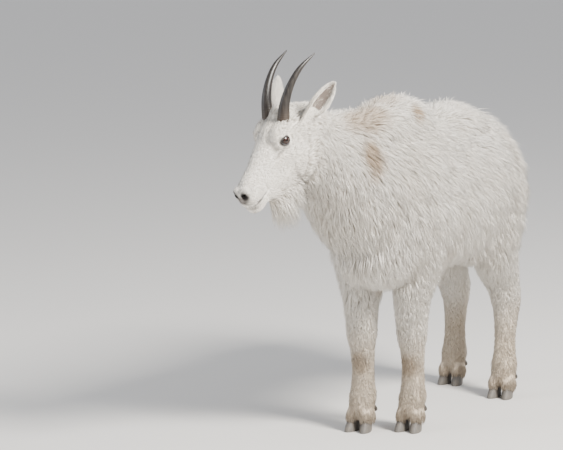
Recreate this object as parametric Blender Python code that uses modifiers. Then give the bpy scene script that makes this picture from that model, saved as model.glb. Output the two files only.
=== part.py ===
"""A mountain goat nanny in summer coat, life size, standing with her head turned to her right.

Metres, +Z up. The goat faces -Y and her left side is +X. The origin is under the middle of the
model's box, at the floor. The body is modelled whole from lofted forms, and parted with thin cuts.
"""

import math

import bmesh
import bpy
import numpy as np
from mathutils import Matrix, Vector

# Driving sizes, in metres and degrees
WITHERS_SKIN_TOP = 0.860
KERF = 0.0003
HEAD_AT = (-0.097, -0.679, 0.918)
HEAD_TURN = 26.0
HEAD_DIP = 49.0
EYE_RADIUS = 0.0155
EYE_AT = (0.107, 0.0430, 0.0190)
LID_THICKNESS = 0.0026
EYE_OPENING = (0.0148, 0.0102)
EYE_TILT = 30.0
EYE_STEPS = 7
HORN_AT = (0.076, 0.030)
HORN_RADIUS = 0.0160
HORN_SIDES = 8
HORN_STEPS = 21
EAR_AT = (0.030, 0.052, 0.000)
EAR_TIP = (-0.078, 0.112, 0.032)
EAR_HALF_WIDTH = 0.0235
MOUTH_SLIT = 0.0014
FRONT_LEG_SEAM = (0.362, 0.200)
HIND_LEG_SEAM = (0.385, 0.215)
COAT_SHARE = 0.5
SWELLING_COAT = 0.040
HEAD_SWELLING_COAT = 0.006
TRUNK_VOXEL = 0.010
LEG_VOXEL = 0.005
HEAD_VOXEL = 0.004
TRUNK_TRIANGLES = 1250
LEG_TRIANGLES = 310
HEAD_TRIANGLES = 1350
LEG_COAT_FROM = 0.295
LEG_COAT_UP_TO = 0.400
CREST_HALF_WIDTH = 0.042
COAT_SEED = 11
CREST_LEAN = 0.30
LOCK_TUCK = 0.80
RUMP_TUCK = 0.45
RUMP_EDGE = (0.20, 0.30)
ROOT_CANDIDATES = 8000

# Where each foot stands: x, y of the hoof pair's middle
FEET = {
    "front_right": (-0.061, -0.338),
    "front_left": (0.064, -0.280),
    "hind_right": (-0.077, 0.392),
    "hind_left": (0.131, 0.262),
}

# Torso stations along Y: y, top, bottom, half width, narrowing of the back, coat depth
TORSO = (
    (-0.430, 0.700, 0.540, 0.074, 0.10, 0.038),
    (-0.390, 0.772, 0.490, 0.106, 0.20, 0.042),
    (-0.330, 0.836, 0.452, 0.128, 0.34, 0.045),
    (-0.262, WITHERS_SKIN_TOP, 0.440, 0.138, 0.44, 0.046),
    (-0.150, 0.846, 0.442, 0.144, 0.40, 0.046),
    (-0.030, 0.812, 0.450, 0.148, 0.28, 0.044),
    (0.090, 0.808, 0.462, 0.148, 0.26, 0.044),
    (0.190, 0.822, 0.478, 0.142, 0.30, 0.044),
    (0.275, 0.806, 0.506, 0.132, 0.30, 0.044),
    (0.345, 0.775, 0.535, 0.116, 0.24, 0.044),
    (0.395, 0.732, 0.570, 0.092, 0.16, 0.042),
    (0.428, 0.688, 0.606, 0.058, 0.10, 0.036),
)

# Neck stations: x, y, z of the middle, half width, depth above and below it, coat depth
NECK = (
    (0.000, -0.200, 0.660, 0.112, 0.180, 0.180, 0.042),
    (-0.008, -0.330, 0.672, 0.118, 0.190, 0.180, 0.042),
    (-0.030, -0.440, 0.700, 0.108, 0.178, 0.152, 0.040),
    (-0.056, -0.535, 0.744, 0.088, 0.152, 0.112, 0.034),
    (-0.080, -0.610, 0.790, 0.072, 0.116, 0.078, 0.028),
    (-0.098, -0.670, 0.830, 0.060, 0.086, 0.060, 0.020),
)

# Horn stations from its foot: back, up, out to the side, share of the foot's radius
HORN_PATH = (
    (0.000, 0.000, 0.030, 1.00),
    (-0.003, 0.030, 0.033, 0.98),
    (-0.002, 0.072, 0.039, 0.80),
    (0.012, 0.116, 0.046, 0.60),
    (0.038, 0.156, 0.052, 0.42),
    (0.081, 0.192, 0.058, 0.09),
)

# Ear stations: share of its length, of its half width, wall thickness and cup depth in half
# widths, bend forward in lengths
EAR = (
    (0.00, 0.50, 0.80, 0.02, 0.00),
    (0.14, 0.62, 0.60, 0.10, -0.01),
    (0.28, 0.86, 0.22, 0.42, -0.02),
    (0.48, 1.00, 0.14, 0.56, -0.03),
    (0.70, 0.86, 0.15, 0.50, -0.02),
    (0.88, 0.50, 0.22, 0.34, 0.00),
    (1.00, 0.14, 0.50, 0.10, 0.02),
)

# The mouth's line from the front of the lips to the corner, on the head's middle plane
MOUTH_LINE = ((0.325, -0.006), (0.295, -0.020), (0.270, -0.028), (0.245, -0.034))

# Hoof stations: height, half width, half length, shift back
HOOF = (
    (0.000, 0.0150, 0.0320, -0.016),
    (0.012, 0.0150, 0.0305, -0.013),
    (0.026, 0.0140, 0.0270, -0.007),
    (0.040, 0.0120, 0.0225, -0.001),
)
TOE_SPREAD = 0.0185
TOE_SPLAY = 7.0
HEAD_SEAM = 0.004
TAIL_BOX = ((-0.040, 0.440, 0.615), (0.040, 0.700, 0.800))
NECK_SEAM_AT = (-0.020, -0.400, 0.740)
NECK_SEAM_WAY = (-0.12, -0.80, 0.58)

# Tail stations: y, z, half width, half depth, coat depth
TAIL = (
    (0.376, 0.745, 0.018, 0.013, 0.008),
    (0.424, 0.745, 0.018, 0.013, 0.010),
    (0.462, 0.722, 0.017, 0.012, 0.012),
    (0.482, 0.684, 0.014, 0.010, 0.012),
    (0.488, 0.640, 0.008, 0.006, 0.010),
)

# Lock stations: share of its length, of its half width, of its thickness
LOCK = (
    (0.00, 0.55, 1.0),
    (0.36, 1.00, 1.0),
    (0.72, 0.72, 0.75),
)

# Locks by region: count, length, half width, thickness, stand above the short coat at the tip
LOCKS = {
    "crest": (20, 0.150, 0.040, 0.0120, 0.020),
    "torso": (76, 0.185, 0.044, 0.0110, 0.024),
    "neck": (20, 0.150, 0.036, 0.0100, 0.017),
    "legs": (26, 0.108, 0.024, 0.0080, 0.010),
    "tail": (5, 0.085, 0.015, 0.0070, 0.008),
}

# The jaw's underside, from behind the chin back to the throat, and the locks that hang from it
JAW_LINE = ((0.224, -0.064), (0.186, -0.078), (0.150, -0.090), (0.112, -0.100))
BEARD_ROWS = 5
BEARD_LOCK = (0.056, 0.015, 0.0065, 0.012)

# Head stations along its own axis, from poll to lips: along, top, bottom, half width, coat depth
HEAD = (
    (-0.020, -0.008, -0.080, 0.042, 0.010),
    (0.010, 0.014, -0.096, 0.050, 0.010),
    (0.040, 0.036, -0.108, 0.053, 0.009),
    (0.075, 0.053, -0.112, 0.052, 0.007),
    (0.105, 0.054, -0.108, 0.048, 0.006),
    (0.140, 0.046, -0.099, 0.043, 0.006),
    (0.175, 0.037, -0.087, 0.038, 0.006),
    (0.210, 0.029, -0.075, 0.035, 0.005),
    (0.240, 0.025, -0.065, 0.034, 0.004),
    (0.262, 0.020, -0.058, 0.033, 0.004),
    (0.280, 0.012, -0.052, 0.029, 0.003),
    (0.290, -0.002, -0.044, 0.018, 0.003),
)

# Leg stations: height, share of the way from foot to hip in x and y, shift back, half width,
# half depth, coat depth
FRONT_LEG = (
    (0.600, 0.80, 0.030, 0.040, 0.086, 0.030),
    (0.540, 0.95, 0.025, 0.048, 0.088, 0.030),
    (0.480, 0.90, 0.018, 0.047, 0.074, 0.028),
    (0.400, 0.62, 0.008, 0.036, 0.050, 0.020),
    (0.330, 0.42, 0.004, 0.031, 0.040, 0.013),
    (0.270, 0.25, 0.006, 0.031, 0.036, 0.011),
    (0.235, 0.18, 0.010, 0.027, 0.030, 0.009),
    (0.180, 0.12, 0.015, 0.023, 0.026, 0.009),
    (0.130, 0.06, 0.015, 0.024, 0.028, 0.010),
    (0.100, 0.03, 0.015, 0.028, 0.033, 0.011),
    (0.072, 0.00, 0.006, 0.028, 0.031, 0.011),
    (0.048, 0.00, -0.004, 0.026, 0.030, 0.009),
)
HIND_LEG = (
    (0.640, 0.70, 0.000, 0.042, 0.095, 0.036),
    (0.570, 0.95, 0.000, 0.050, 0.112, 0.034),
    (0.490, 0.86, -0.010, 0.048, 0.098, 0.032),
    (0.420, 0.66, 0.006, 0.042, 0.068, 0.028),
    (0.350, 0.48, 0.040, 0.034, 0.046, 0.018),
    (0.285, 0.30, 0.056, 0.031, 0.042, 0.012),
    (0.240, 0.20, 0.048, 0.027, 0.033, 0.010),
    (0.180, 0.12, 0.034, 0.023, 0.027, 0.009),
    (0.130, 0.06, 0.024, 0.024, 0.028, 0.010),
    (0.100, 0.03, 0.018, 0.028, 0.033, 0.011),
    (0.072, 0.00, 0.008, 0.028, 0.031, 0.011),
    (0.048, 0.00, -0.002, 0.026, 0.030, 0.009),
)
HIPS = {
    "front_right": (-0.081, -0.300),
    "front_left": (0.070, -0.296),
    "hind_right": (-0.086, 0.280),
    "hind_left": (0.088, 0.255),
}


def clear_scene():
    for obj in list(bpy.data.objects):
        bpy.data.objects.remove(obj)


def collection(name):
    made = bpy.data.collections.new(name)
    bpy.context.scene.collection.children.link(made)
    return made


def material(name, colour, roughness):
    made = bpy.data.materials.new(name)
    made.use_nodes = True
    shader = made.node_tree.nodes["Principled BSDF"]
    shader.inputs["Base Color"].default_value = (*colour, 1.0)
    shader.inputs["Roughness"].default_value = roughness
    shader.inputs["Metallic"].default_value = 0.0
    return made


def mesh_object(name, points, faces, home):
    mesh = bpy.data.meshes.new(name)
    mesh.from_pydata([tuple(p) for p in points], [], faces)
    mesh.update()
    made = bpy.data.objects.new(name, mesh)
    home.objects.link(made)
    return made


def smooth_rows(rows, count):
    """The rows of a table read off a Catmull-Rom curve through them, at count even steps."""
    rows = np.array(rows, float)
    padded = np.vstack([2 * rows[0] - rows[1], rows, 2 * rows[-1] - rows[-2]])
    places = np.linspace(0, len(rows) - 1, count)
    start = np.minimum(places.astype(int), len(rows) - 2)
    t = (places - start)[:, None]
    a, b, c, d = (padded[start + k] for k in range(4))
    return 0.5 * (2 * b + (c - a) * t + (2 * a - 5 * b + 4 * c - d) * t**2 + (3 * b - a - 3 * c + d) * t**3)


def oval(centre, side, up, half_width, rise, drop, steps, narrowing=0.0, squareness=0.9):
    """A ring of points: half an oval of height rise over half an oval of depth drop."""
    angle = np.linspace(0, 2 * math.pi, steps, endpoint=False)
    across, high = np.cos(angle), np.sin(angle)
    across = np.sign(across) * np.abs(across) ** squareness
    high = np.sign(high) * np.abs(high) ** squareness
    across = across * half_width * (1 - narrowing * np.maximum(high, 0))
    high = high * np.where(high > 0, rise, drop)
    return np.asarray(centre) + across[:, None] * np.asarray(side) + high[:, None] * np.asarray(up)


def loft(name, rings, home, tip=None):
    """One closed skin over rings of equal point count, with a fan at each end, drawn out to a tip."""
    steps = len(rings[0])
    points = [p for ring in rings for p in ring]
    faces = []
    for row in range(len(rings) - 1):
        for k in range(steps):
            near, far = row * steps, (row + 1) * steps
            after = (k + 1) % steps
            faces.append((near + k, near + after, far + after, far + k))
    last_middle = rings[-1].mean(axis=0) if tip is None else tip
    for middle, first in ((rings[0].mean(axis=0), 0), (last_middle, (len(rings) - 1) * steps)):
        points.append(middle)
        for k in range(steps):
            faces.append((first + k, first + (k + 1) % steps, len(points) - 1))
    made = mesh_object(name, points, faces, home)
    face_out(made)
    return made


def face_out(obj):
    shape = bmesh.new()
    shape.from_mesh(obj.data)
    bmesh.ops.recalc_face_normals(shape, faces=shape.faces)
    shape.to_mesh(obj.data)
    shape.free()


def rounded_ends(rings, share=0.55):
    """Adds a smaller ring past each end, so that the loft closes as a dome."""
    first, last = rings[0], rings[-1]
    out_first = first.mean(axis=0) - rings[1].mean(axis=0)
    out_last = last.mean(axis=0) - rings[-2].mean(axis=0)

    def cap(ring, out):
        middle = ring.mean(axis=0)
        step = out / np.linalg.norm(out) * np.ptp(ring, axis=0).max() * 0.12
        return middle + (ring - middle) * share + step

    return [cap(first, out_first), *rings, cap(last, out_last)]


def head_axes():
    """The head's own directions: along to the lips, to its left, and up out of its crown."""
    turn, dip = math.radians(HEAD_TURN), math.radians(HEAD_DIP)
    along = Vector((-math.sin(turn) * math.cos(dip), -math.cos(turn) * math.cos(dip), -math.sin(dip)))
    left = Vector((math.cos(turn), -math.sin(turn), 0.0))
    return along, left, along.cross(left)


def on_head(along, left, up):
    axes = head_axes()
    return Vector(HEAD_AT) + axes[0] * along + axes[1] * left + axes[2] * up


def torso_form(home, coat_share):
    rings = []
    for y, top, bottom, half, narrowing, coat in smooth_rows(TORSO, 26):
        grown = coat * coat_share
        middle = bottom + (top - bottom) * 0.46
        rings.append(
            oval((0, y, middle), (1, 0, 0), (0, 0, 1), half + grown, top + grown - middle,
                 middle - bottom + grown, 28, narrowing)
        )
    rings[0][:, 1] -= TORSO[0][5] * coat_share * 0.6
    rings[-1][:, 1] += TORSO[-1][5] * coat_share * 0.3
    return loft("torso_form", rounded_ends(rings), home)


def neck_form(home, coat_share):
    rows = smooth_rows(NECK, 14)
    rings = []
    for k, row in enumerate(rows):
        ahead = Vector(rows[min(k + 1, len(rows) - 1)][:3]) - Vector(rows[max(k - 1, 0)][:3])
        side = ahead.cross(Vector((0, 0, 1))).normalized()
        up = side.cross(ahead).normalized()
        grown = row[6] * coat_share
        rings.append(oval(row[:3], side, up, row[3] + grown, row[4] + grown, row[5] + grown, 24, 0.2))
    return loft("neck_form", rounded_ends(rings), home)


def head_form(home, coat_share):
    axes = head_axes()
    rings = []
    for along, top, bottom, half, coat in smooth_rows(HEAD, 26):
        grown = coat * coat_share
        middle = bottom + (top - bottom) * 0.52
        centre = on_head(along, 0, middle)
        rings.append(
            oval(centre, axes[1], axes[2], half + grown, top - middle + grown,
                 middle - bottom + grown, 24, 0.18, 0.86)
        )
    return loft("head_form", rounded_ends(rings), home)


def ellipsoid(name, at, radii, home, axes=None, detail=12):
    """A ball stretched along three axes, the head's own unless others are given."""
    axes = axes or head_axes()
    shape = bmesh.new()
    bmesh.ops.create_uvsphere(shape, u_segments=detail * 2, v_segments=detail, radius=1.0)
    mesh = bpy.data.meshes.new(name)
    shape.to_mesh(mesh)
    shape.free()
    frame = Matrix([[axes[c][r] * radii[c] for c in range(3)] for r in range(3)]).to_4x4()
    frame.translation = Vector(at)
    mesh.transform(frame)
    made = bpy.data.objects.new(name, mesh)
    home.objects.link(made)
    return made


# Swellings of the skull and muzzle: along, to the side, up, then the three radii; paired ones
# are made on both sides
HEAD_SWELLINGS = (
    ("brow", 0.092, 0.033, 0.036, 0.034, 0.018, 0.017, True),
    ("orbit", 0.107, 0.036, 0.018, 0.027, 0.016, 0.022, True),
    ("cheek", 0.088, 0.030, -0.056, 0.062, 0.028, 0.056, True),
    ("muzzle_side", 0.255, 0.018, -0.012, 0.034, 0.019, 0.026, True),
    ("nostril_wing", 0.275, 0.014, 0.006, 0.016, 0.013, 0.015, True),
    ("chin", 0.268, 0.000, -0.045, 0.028, 0.023, 0.018, False),
    ("crown", 0.052, 0.000, 0.034, 0.036, 0.038, 0.022, False),
)


def head_swellings(home, coat_share):
    made = []
    for name, along, side, up, a, b, c, paired in HEAD_SWELLINGS:
        grown = HEAD_SWELLING_COAT * coat_share
        for sign in (1, -1) if paired else (1,):
            made.append(
                ellipsoid(name, on_head(along, side * sign, up), (a + grown, b + grown, c + grown), home)
            )
    return made


# Swellings of the body: x, y, z, then the three radii; paired ones are made on both sides
BODY_SWELLINGS = (
    ("brisket", 0.000, -0.352, 0.572, 0.100, 0.126, 0.136, False),
    ("shoulder", 0.058, -0.288, 0.620, 0.072, 0.122, 0.180, True),
    ("haunch", 0.056, 0.250, 0.620, 0.070, 0.125, 0.150, True),
    ("flank", 0.054, 0.170, 0.510, 0.070, 0.110, 0.080, True),
    ("crest", 0.000, -0.310, 0.848, 0.050, 0.200, 0.054, False),
    ("croup", 0.000, 0.100, 0.790, 0.070, 0.140, 0.044, False),
)


def body_swellings(home, coat_share):
    made = []
    world = (Vector((1, 0, 0)), Vector((0, 1, 0)), Vector((0, 0, 1)))
    for name, x, y, z, a, b, c, paired in BODY_SWELLINGS:
        grown = SWELLING_COAT * coat_share
        for sign in (1, -1) if paired else (1,):
            made.append(
                ellipsoid(name, (x * sign, y, z), (a + grown, b + grown, c + grown), home, world)
            )
    return made


def leg_rows(name):
    rows = FRONT_LEG if name.startswith("front") else HIND_LEG
    foot, hip = FEET[name], HIPS[name]
    placed = []
    for height, share, back, half, depth, coat in rows:
        x = foot[0] + (hip[0] - foot[0]) * share
        y = foot[1] + (hip[1] - foot[1]) * share + back
        placed.append((x, y, height, half, depth, coat))
    return placed


def leg_form(name, home, coat_share, thin_share, extra=0.0):
    """A leg's loft. Long hair takes coat_share of its depth, and short fur thin_share."""
    rows = smooth_rows(leg_rows(name), 26)
    rings = []
    for k, row in enumerate(rows):
        ahead = Vector(rows[min(k + 1, len(rows) - 1)][:3]) - Vector(rows[max(k - 1, 0)][:3])
        fore = ahead.cross(Vector((1, 0, 0))).normalized()
        side = fore.cross(ahead).normalized()
        long_hair = min(1.0, max(0.0, (row[2] - 0.20) / 0.08))
        grown = row[5] * (coat_share * long_hair + thin_share * (1 - long_hair)) + extra
        rings.append(oval(row[:3], side, fore, row[3] + grown, row[4] + grown, row[4] + grown, 18))
    return loft("leg_" + name, rings, home)


def tail_form(home, coat_share):
    """The short tail, which leaves the rump high up and hangs close against it."""
    rings = []
    rows = smooth_rows(TAIL, 10)
    for k, (y, z, half, depth, coat) in enumerate(rows):
        ahead = rows[min(k + 1, len(rows) - 1)][:2] - rows[max(k - 1, 0)][:2]
        across = (0, -ahead[1] / np.hypot(*ahead), ahead[0] / np.hypot(*ahead))
        grown = coat * coat_share
        rings.append(oval((0, y, z), (1, 0, 0), across, half + grown, depth + grown, depth + grown, 10))
    return loft("tail_form", rounded_ends(rings), home)


def evaluated_mesh(obj):
    graph = bpy.context.evaluated_depsgraph_get()
    return bpy.data.meshes.new_from_object(obj.evaluated_get(graph))


def settle(obj):
    """Applies an object's modifiers."""
    mesh = evaluated_mesh(obj)
    obj.modifiers.clear()
    old = obj.data
    obj.data = mesh
    bpy.data.meshes.remove(old)


def joined(name, objects, home):
    shape = bmesh.new()
    for obj in objects:
        shape.from_mesh(obj.data)
    mesh = bpy.data.meshes.new(name)
    shape.to_mesh(mesh)
    shape.free()
    for obj in objects:
        bpy.data.objects.remove(obj)
    made = bpy.data.objects.new(name, mesh)
    home.objects.link(made)
    return made


def fused(name, objects, home, voxel, passes, softness=None):
    """Melts overlapping forms into one closed skin, softened by the share that softness gives."""
    made = joined(name, objects, home)
    remesh = made.modifiers.new("remesh", "REMESH")
    remesh.mode = "VOXEL"
    remesh.voxel_size = voxel
    settle(made)
    soften = made.modifiers.new("soften", "SMOOTH")
    soften.factor = 0.5
    soften.iterations = passes
    if softness:
        group = made.vertex_groups.new(name="soft")
        for vert in made.data.vertices:
            group.add([vert.index], softness(vert.co), "REPLACE")
        soften.vertex_group = "soft"
    settle(made)
    made.vertex_groups.clear()
    return made


def thinned(obj, triangles):
    """Lowers a skin's count to about that many triangles."""
    thin = obj.modifiers.new("thin", "DECIMATE")
    thin.ratio = min(1.0, triangles / (2 * len(obj.data.polygons)))
    thin.use_collapse_triangulate = True
    settle(obj)


def box_cutter(name, low, high):
    """A box from its low corner to its high one, in the world's own directions."""
    low, high = Vector(low), Vector(high)
    shape = bmesh.new()
    bmesh.ops.create_cube(shape, size=1.0)
    mesh = bpy.data.meshes.new(name)
    shape.to_mesh(mesh)
    shape.free()
    size = high - low
    mesh.transform(Matrix.Translation((low + high) / 2) @ Matrix.Diagonal((*size, 1.0)))
    made = bpy.data.objects.new(name, mesh)
    bpy.data.collections["cutters"].objects.link(made)
    made.hide_render = True
    made.display_type = "WIRE"
    return made


def beyond_plane(name, point, ahead, reach=1.2):
    """A cube of side 2 * reach whose one face lies on the plane through point, facing back."""
    ahead = Vector(ahead).normalized()
    made = box_cutter(name, (-reach, -reach, 0), (reach, reach, 2 * reach))
    made.data.transform(Matrix.Translation(point) @ ahead.to_track_quat("Z", "Y").to_matrix().to_4x4())
    return made


def boolean(obj, other, operation):
    """Cuts or keeps by another closed mesh, or by a collection of them, and applies it."""
    step = obj.modifiers.new(operation.lower(), "BOOLEAN")
    step.operation = operation
    step.solver = "MANIFOLD"
    if isinstance(other, bpy.types.Collection):
        step.operand_type = "COLLECTION"
        step.collection = other
    else:
        step.object = other
    settle(obj)


def copy_of(obj, name, home):
    made = bpy.data.objects.new(name, obj.data.copy())
    home.objects.link(made)
    return made


def discard(*objects):
    for obj in objects:
        bpy.data.objects.remove(obj)


def keep_largest(obj):
    """Leaves the closed surface of most volume, so loose scraps and sealed hollows go."""
    shape = bmesh.new()
    shape.from_mesh(obj.data)
    bmesh.ops.triangulate(shape, faces=shape.faces)
    left, shells = set(shape.verts), []
    while left:
        seed = left.pop()
        shell, front = {seed}, [seed]
        while front:
            for edge in front.pop().link_edges:
                for vert in edge.verts:
                    if vert in left:
                        left.remove(vert)
                        shell.add(vert)
                        front.append(vert)
        shells.append(shell)

    def volume(shell):
        faces = {face for vert in shell for face in vert.link_faces}
        corners = [[v.co for v in face.verts] for face in faces]
        return sum(a.dot(b.cross(c)) for a, b, c in corners) / 6

    keep = max(shells, key=volume)
    scraps = [vert for shell in shells if shell is not keep for vert in shell]
    bmesh.ops.delete(shape, geom=scraps, context="VERTS")
    shape.to_mesh(obj.data)
    shape.free()


def leg_box(name, part, grown):
    """The box that holds one leg's upper or lower length, larger by grown on every side."""
    top, middle = FRONT_LEG_SEAM if name.startswith("front") else HIND_LEG_SEAM
    near = FEET[name][1] - 0.170
    far = FEET[name][1] + 0.145
    inner, outer = 0.008 - grown, 0.300
    low_x, high_x = (inner, outer) if name.endswith("left") else (-outer, -inner)
    low_z, high_z = (-0.05, middle) if part == "lower" else (middle + KERF, top)
    if part == "whole":
        low_z = -0.05
    return box_cutter("leg_box", (low_x, near - grown, low_z), (high_x, far + grown, high_z + grown))


def leg_region(name, part, grown):
    """The space round a leg that its node fills, so that the coat above may hang past it."""
    region = leg_form(name, bpy.data.collections["cutters"], 1.0, 1.0, 0.010 + grown)
    region.hide_render = True
    boolean(region, leg_box(name, part, grown), "INTERSECT")
    return region


def toe_places(name):
    """Each toe's middle at the sole, and the way it points: the pair is a little splayed."""
    x, y = FEET[name]
    for side, label in ((1, "left_toe"), (-1, "right_toe")):
        yield label, side, Vector((x + side * TOE_SPREAD, y, 0.0)), math.radians(side * TOE_SPLAY)


def hoof_form(name, place, splay, grown, home):
    """One horn toe: a flat sole, sloping front wall and a top that sinks into the foot."""
    rings = []
    angle = np.linspace(0, 2 * math.pi, 12, endpoint=False)
    for height, half, length, back in HOOF:
        across = np.sign(np.cos(angle)) * np.abs(np.cos(angle)) ** 0.8 * (half + grown)
        along = np.sign(np.sin(angle)) * np.abs(np.sin(angle)) ** 0.8 * (length + grown) + back
        across *= 1 - 0.28 * np.clip(-np.sin(angle), 0, 1) ** 2
        level = np.full(len(angle), height)
        turned = (across * math.cos(splay) - along * math.sin(splay),
                  across * math.sin(splay) + along * math.cos(splay))
        rings.append(np.array(place) + np.stack([*turned, level], axis=1))
    rings[0][:, 2] -= grown
    rings[-1][:, 2] += grown
    return loft(name, rings, home)


def dewclaw_form(name, leg, side, grown, home):
    """A blunt horn cone behind the pastern, pointing down and back."""
    x, y = FEET[leg]
    base = Vector((x + side * 0.019, y + 0.024, 0.070))
    point = Vector((side * 0.18, 0.72, -0.67)).normalized()
    flat = Vector((1, 0, 0))
    up = flat.cross(point).normalized()
    rings = []
    for along, radius in ((-grown, 0.0105), (0.020, 0.0100), (0.028, 0.0070)):
        wide = radius + grown
        rings.append(oval(base + point * along, flat, up, wide, wide * 0.8, wide * 0.8, 6))
    rings[-1] += np.array(point) * grown
    return loft(name, rings, home)


def foot_forms(name, home):
    """The furred flesh over the two toes, which the leg's lower end melts into."""
    made = []
    world = (Vector((1, 0, 0)), Vector((0, 1, 0)), Vector((0, 0, 1)))
    for _, side, place, _ in toe_places(name):
        at = place + Vector((side * 0.001, 0.000, 0.047))
        made.append(ellipsoid("toe", at, (0.0205, 0.037, 0.027), home, world))
    x, y = FEET[name]
    made.append(ellipsoid("heel", (x, y + 0.022, 0.050), (0.030, 0.020, 0.022), home, world))
    return made


def lower_leg(trunk, name, home):
    """The leg below the long hair, with the furred flesh over its toes."""
    made = copy_of(trunk, "leg_" + name + "_lower", home)
    boolean(made, leg_box(name, "whole", 0.0), "INTERSECT")
    forms = foot_forms(name, bpy.data.collections["forms"])
    made = fused("leg_" + name + "_lower", [made, *forms], home, LEG_VOXEL, 3)
    thinned(made, LEG_TRIANGLES)
    boolean(made, leg_box(name, "lower", 0.0), "INTERSECT")
    return made


def head_ahead():
    """The level direction that the head faces."""
    turn = math.radians(HEAD_TURN)
    return Vector((-math.sin(turn), -math.cos(turn), 0.0))


def horn_rings(side, grown):
    """Rings up a horn: it rises from the crown, then sweeps back and out, ridged near its foot."""
    ahead, left, last = head_ahead(), head_axes()[1], HORN_STEPS - 1
    base = on_head(HORN_AT[0], 0, HORN_AT[1])
    rows = smooth_rows(HORN_PATH, HORN_STEPS)
    middles = [base - ahead * back + Vector((0, 0, up)) + left * (out * side) for back, up, out, _ in rows]
    rings = []
    for k, middle in enumerate(middles):
        way = (middles[min(k + 1, last)] - middles[max(k - 1, 0)]).normalized()
        across = way.cross(ahead).normalized()
        fore = across.cross(way).normalized()
        ridge = (0.035 if k % 2 else -0.035) if 3 < k < last * 0.66 else 0.0
        radius = HORN_RADIUS * rows[k][3] * (1 + ridge) + grown
        if k == 0:
            middle = middle - way * grown
        rings.append(oval(middle, across, fore, radius * 0.92, radius * 1.06, radius * 1.06, HORN_SIDES, 0.0, 1.0))
    return rings


def ear_rings(side, grown):
    """Rings along an ear: a closed stalk that opens into a cup, crescent in section."""
    root = on_head(EAR_AT[0], EAR_AT[1] * side, EAR_AT[2])
    tip = on_head(EAR_TIP[0], EAR_TIP[1] * side, EAR_TIP[2])
    along, left, up = head_axes()
    way = (tip - root).normalized()
    mouth = (left * side * 0.86 + along * 0.42 + Vector((0, 0, 0.10)))
    mouth = (mouth - way * mouth.dot(way)).normalized()
    across = way.cross(mouth).normalized()
    length = (tip - root).length
    rings = []
    for t, width, thick, cup, bend in smooth_rows(EAR, 10):
        middle = root + way * (length * t) + mouth * (bend * length)
        if t <= 0.001:
            middle = middle - way * grown
        half = EAR_HALF_WIDTH * width + grown
        turn = np.linspace(-math.pi / 2, math.pi / 2, 6)
        back_x, back_y = np.sin(turn) * half, -np.cos(turn) * (thick * half + cup * half) - grown
        front_x = np.sin(turn[::-1]) * half * 0.86
        front_y = -np.cos(turn[::-1]) * cup * half + 0.0006 + grown
        ring = [middle + across * float(x) + mouth * float(y + cup * half)
                for x, y in zip(np.r_[back_x, front_x], np.r_[back_y, front_y])]
        rings.append(np.array(ring))
    return rings


def eye_opening(side, home):
    """An almond prism that opens the lids, its front corner a little lower than its back one."""
    along, left, up = head_axes()
    tilt = math.radians(EYE_TILT)
    wide = along * math.cos(tilt) + up * math.sin(tilt)
    high = up * math.cos(tilt) - along * math.sin(tilt)
    centre = on_head(EYE_AT[0], EYE_AT[1] * side, EYE_AT[2])
    angle = np.linspace(0, 2 * math.pi, 16, endpoint=False)
    x = np.cos(angle) * EYE_OPENING[0]
    y = np.sin(angle) * EYE_OPENING[1] * (1 - 0.35 * np.cos(angle) ** 2)
    rings = []
    for out in (0.0, 0.040):
        rings.append(np.array([centre + left * (side * out) + wide * float(a) + high * float(b)
                               for a, b in zip(x, y)]))
    return loft("eye_opening", rings, home)


def mouth_slit(home):
    """A thin bent plate between the lips, from past the muzzle back to the mouth's corners."""
    line = smooth_rows(MOUTH_LINE, 9)
    rings = []
    for side in (-0.05, 0.05):
        upper = [on_head(a, side, u + MOUTH_SLIT / 2) for a, u in line]
        lower = [on_head(a, side, u - MOUTH_SLIT / 2) for a, u in line[::-1]]
        rings.append(np.array(upper + lower))
    return loft("mouth_slit", rings, home)


def head_node(trunk, home):
    """The head: melted forms, then lids, sockets, mouth and nostrils."""
    forms, cutters = bpy.data.collections["forms"], bpy.data.collections["cutters"]
    made = copy_of(trunk, "head", home)
    boolean(made, head_side(0.045), "INTERSECT")
    made = fused("head", [made, head_form(forms, 1.0), *head_swellings(forms, 1.0)], home,
                 HEAD_VOXEL, 4)
    thinned(made, HEAD_TRIANGLES)
    beard(made)
    boolean(made, head_side(-KERF / 2), "INTERSECT")
    for side in (1, -1):
        centre = on_head(EYE_AT[0], EYE_AT[1] * side, EYE_AT[2])
        lid = ellipsoid("lid", centre, (EYE_RADIUS + LID_THICKNESS,) * 3, forms, detail=EYE_STEPS)
        boolean(made, lid, "UNION")
        socket = ellipsoid("socket", centre, (EYE_RADIUS + KERF,) * 3, cutters, detail=EYE_STEPS)
        for cutter in (socket, eye_opening(side, cutters), horn(side, "socket", KERF, cutters),
                       ear(side, "socket", 2 * KERF, cutters), nostril(side, cutters)):
            boolean(made, cutter, "DIFFERENCE")
        discard(lid)
    boolean(made, mouth_slit(cutters), "DIFFERENCE")
    keep_largest(made)
    return made


def beard(head):
    """Short locks under the jaw, from behind the chin back to the throat, longest in the middle."""
    along, left, up = head_axes()
    random = np.random.default_rng(COAT_SEED)
    home = bpy.data.collections["locks"]
    for row, (a, u) in enumerate(smooth_rows(JAW_LINE, BEARD_ROWS)):
        for side in ((-1, 1) if row % 2 else (-1.6, 0, 1.6)):
            place = on_head(a, 0.013 * side, u + 0.004 * abs(side))
            out = (left * (0.35 * side) - up).normalized()
            way = Vector((0, 0, -1.0)) - along * 0.10 + left * (0.12 * side)
            way = (way - out * (way.dot(out) * 0.5)).normalized()
            lock(place, out, way, BEARD_LOCK, random, home)
    boolean(head, home, "UNION")
    discard(*home.objects)


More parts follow.
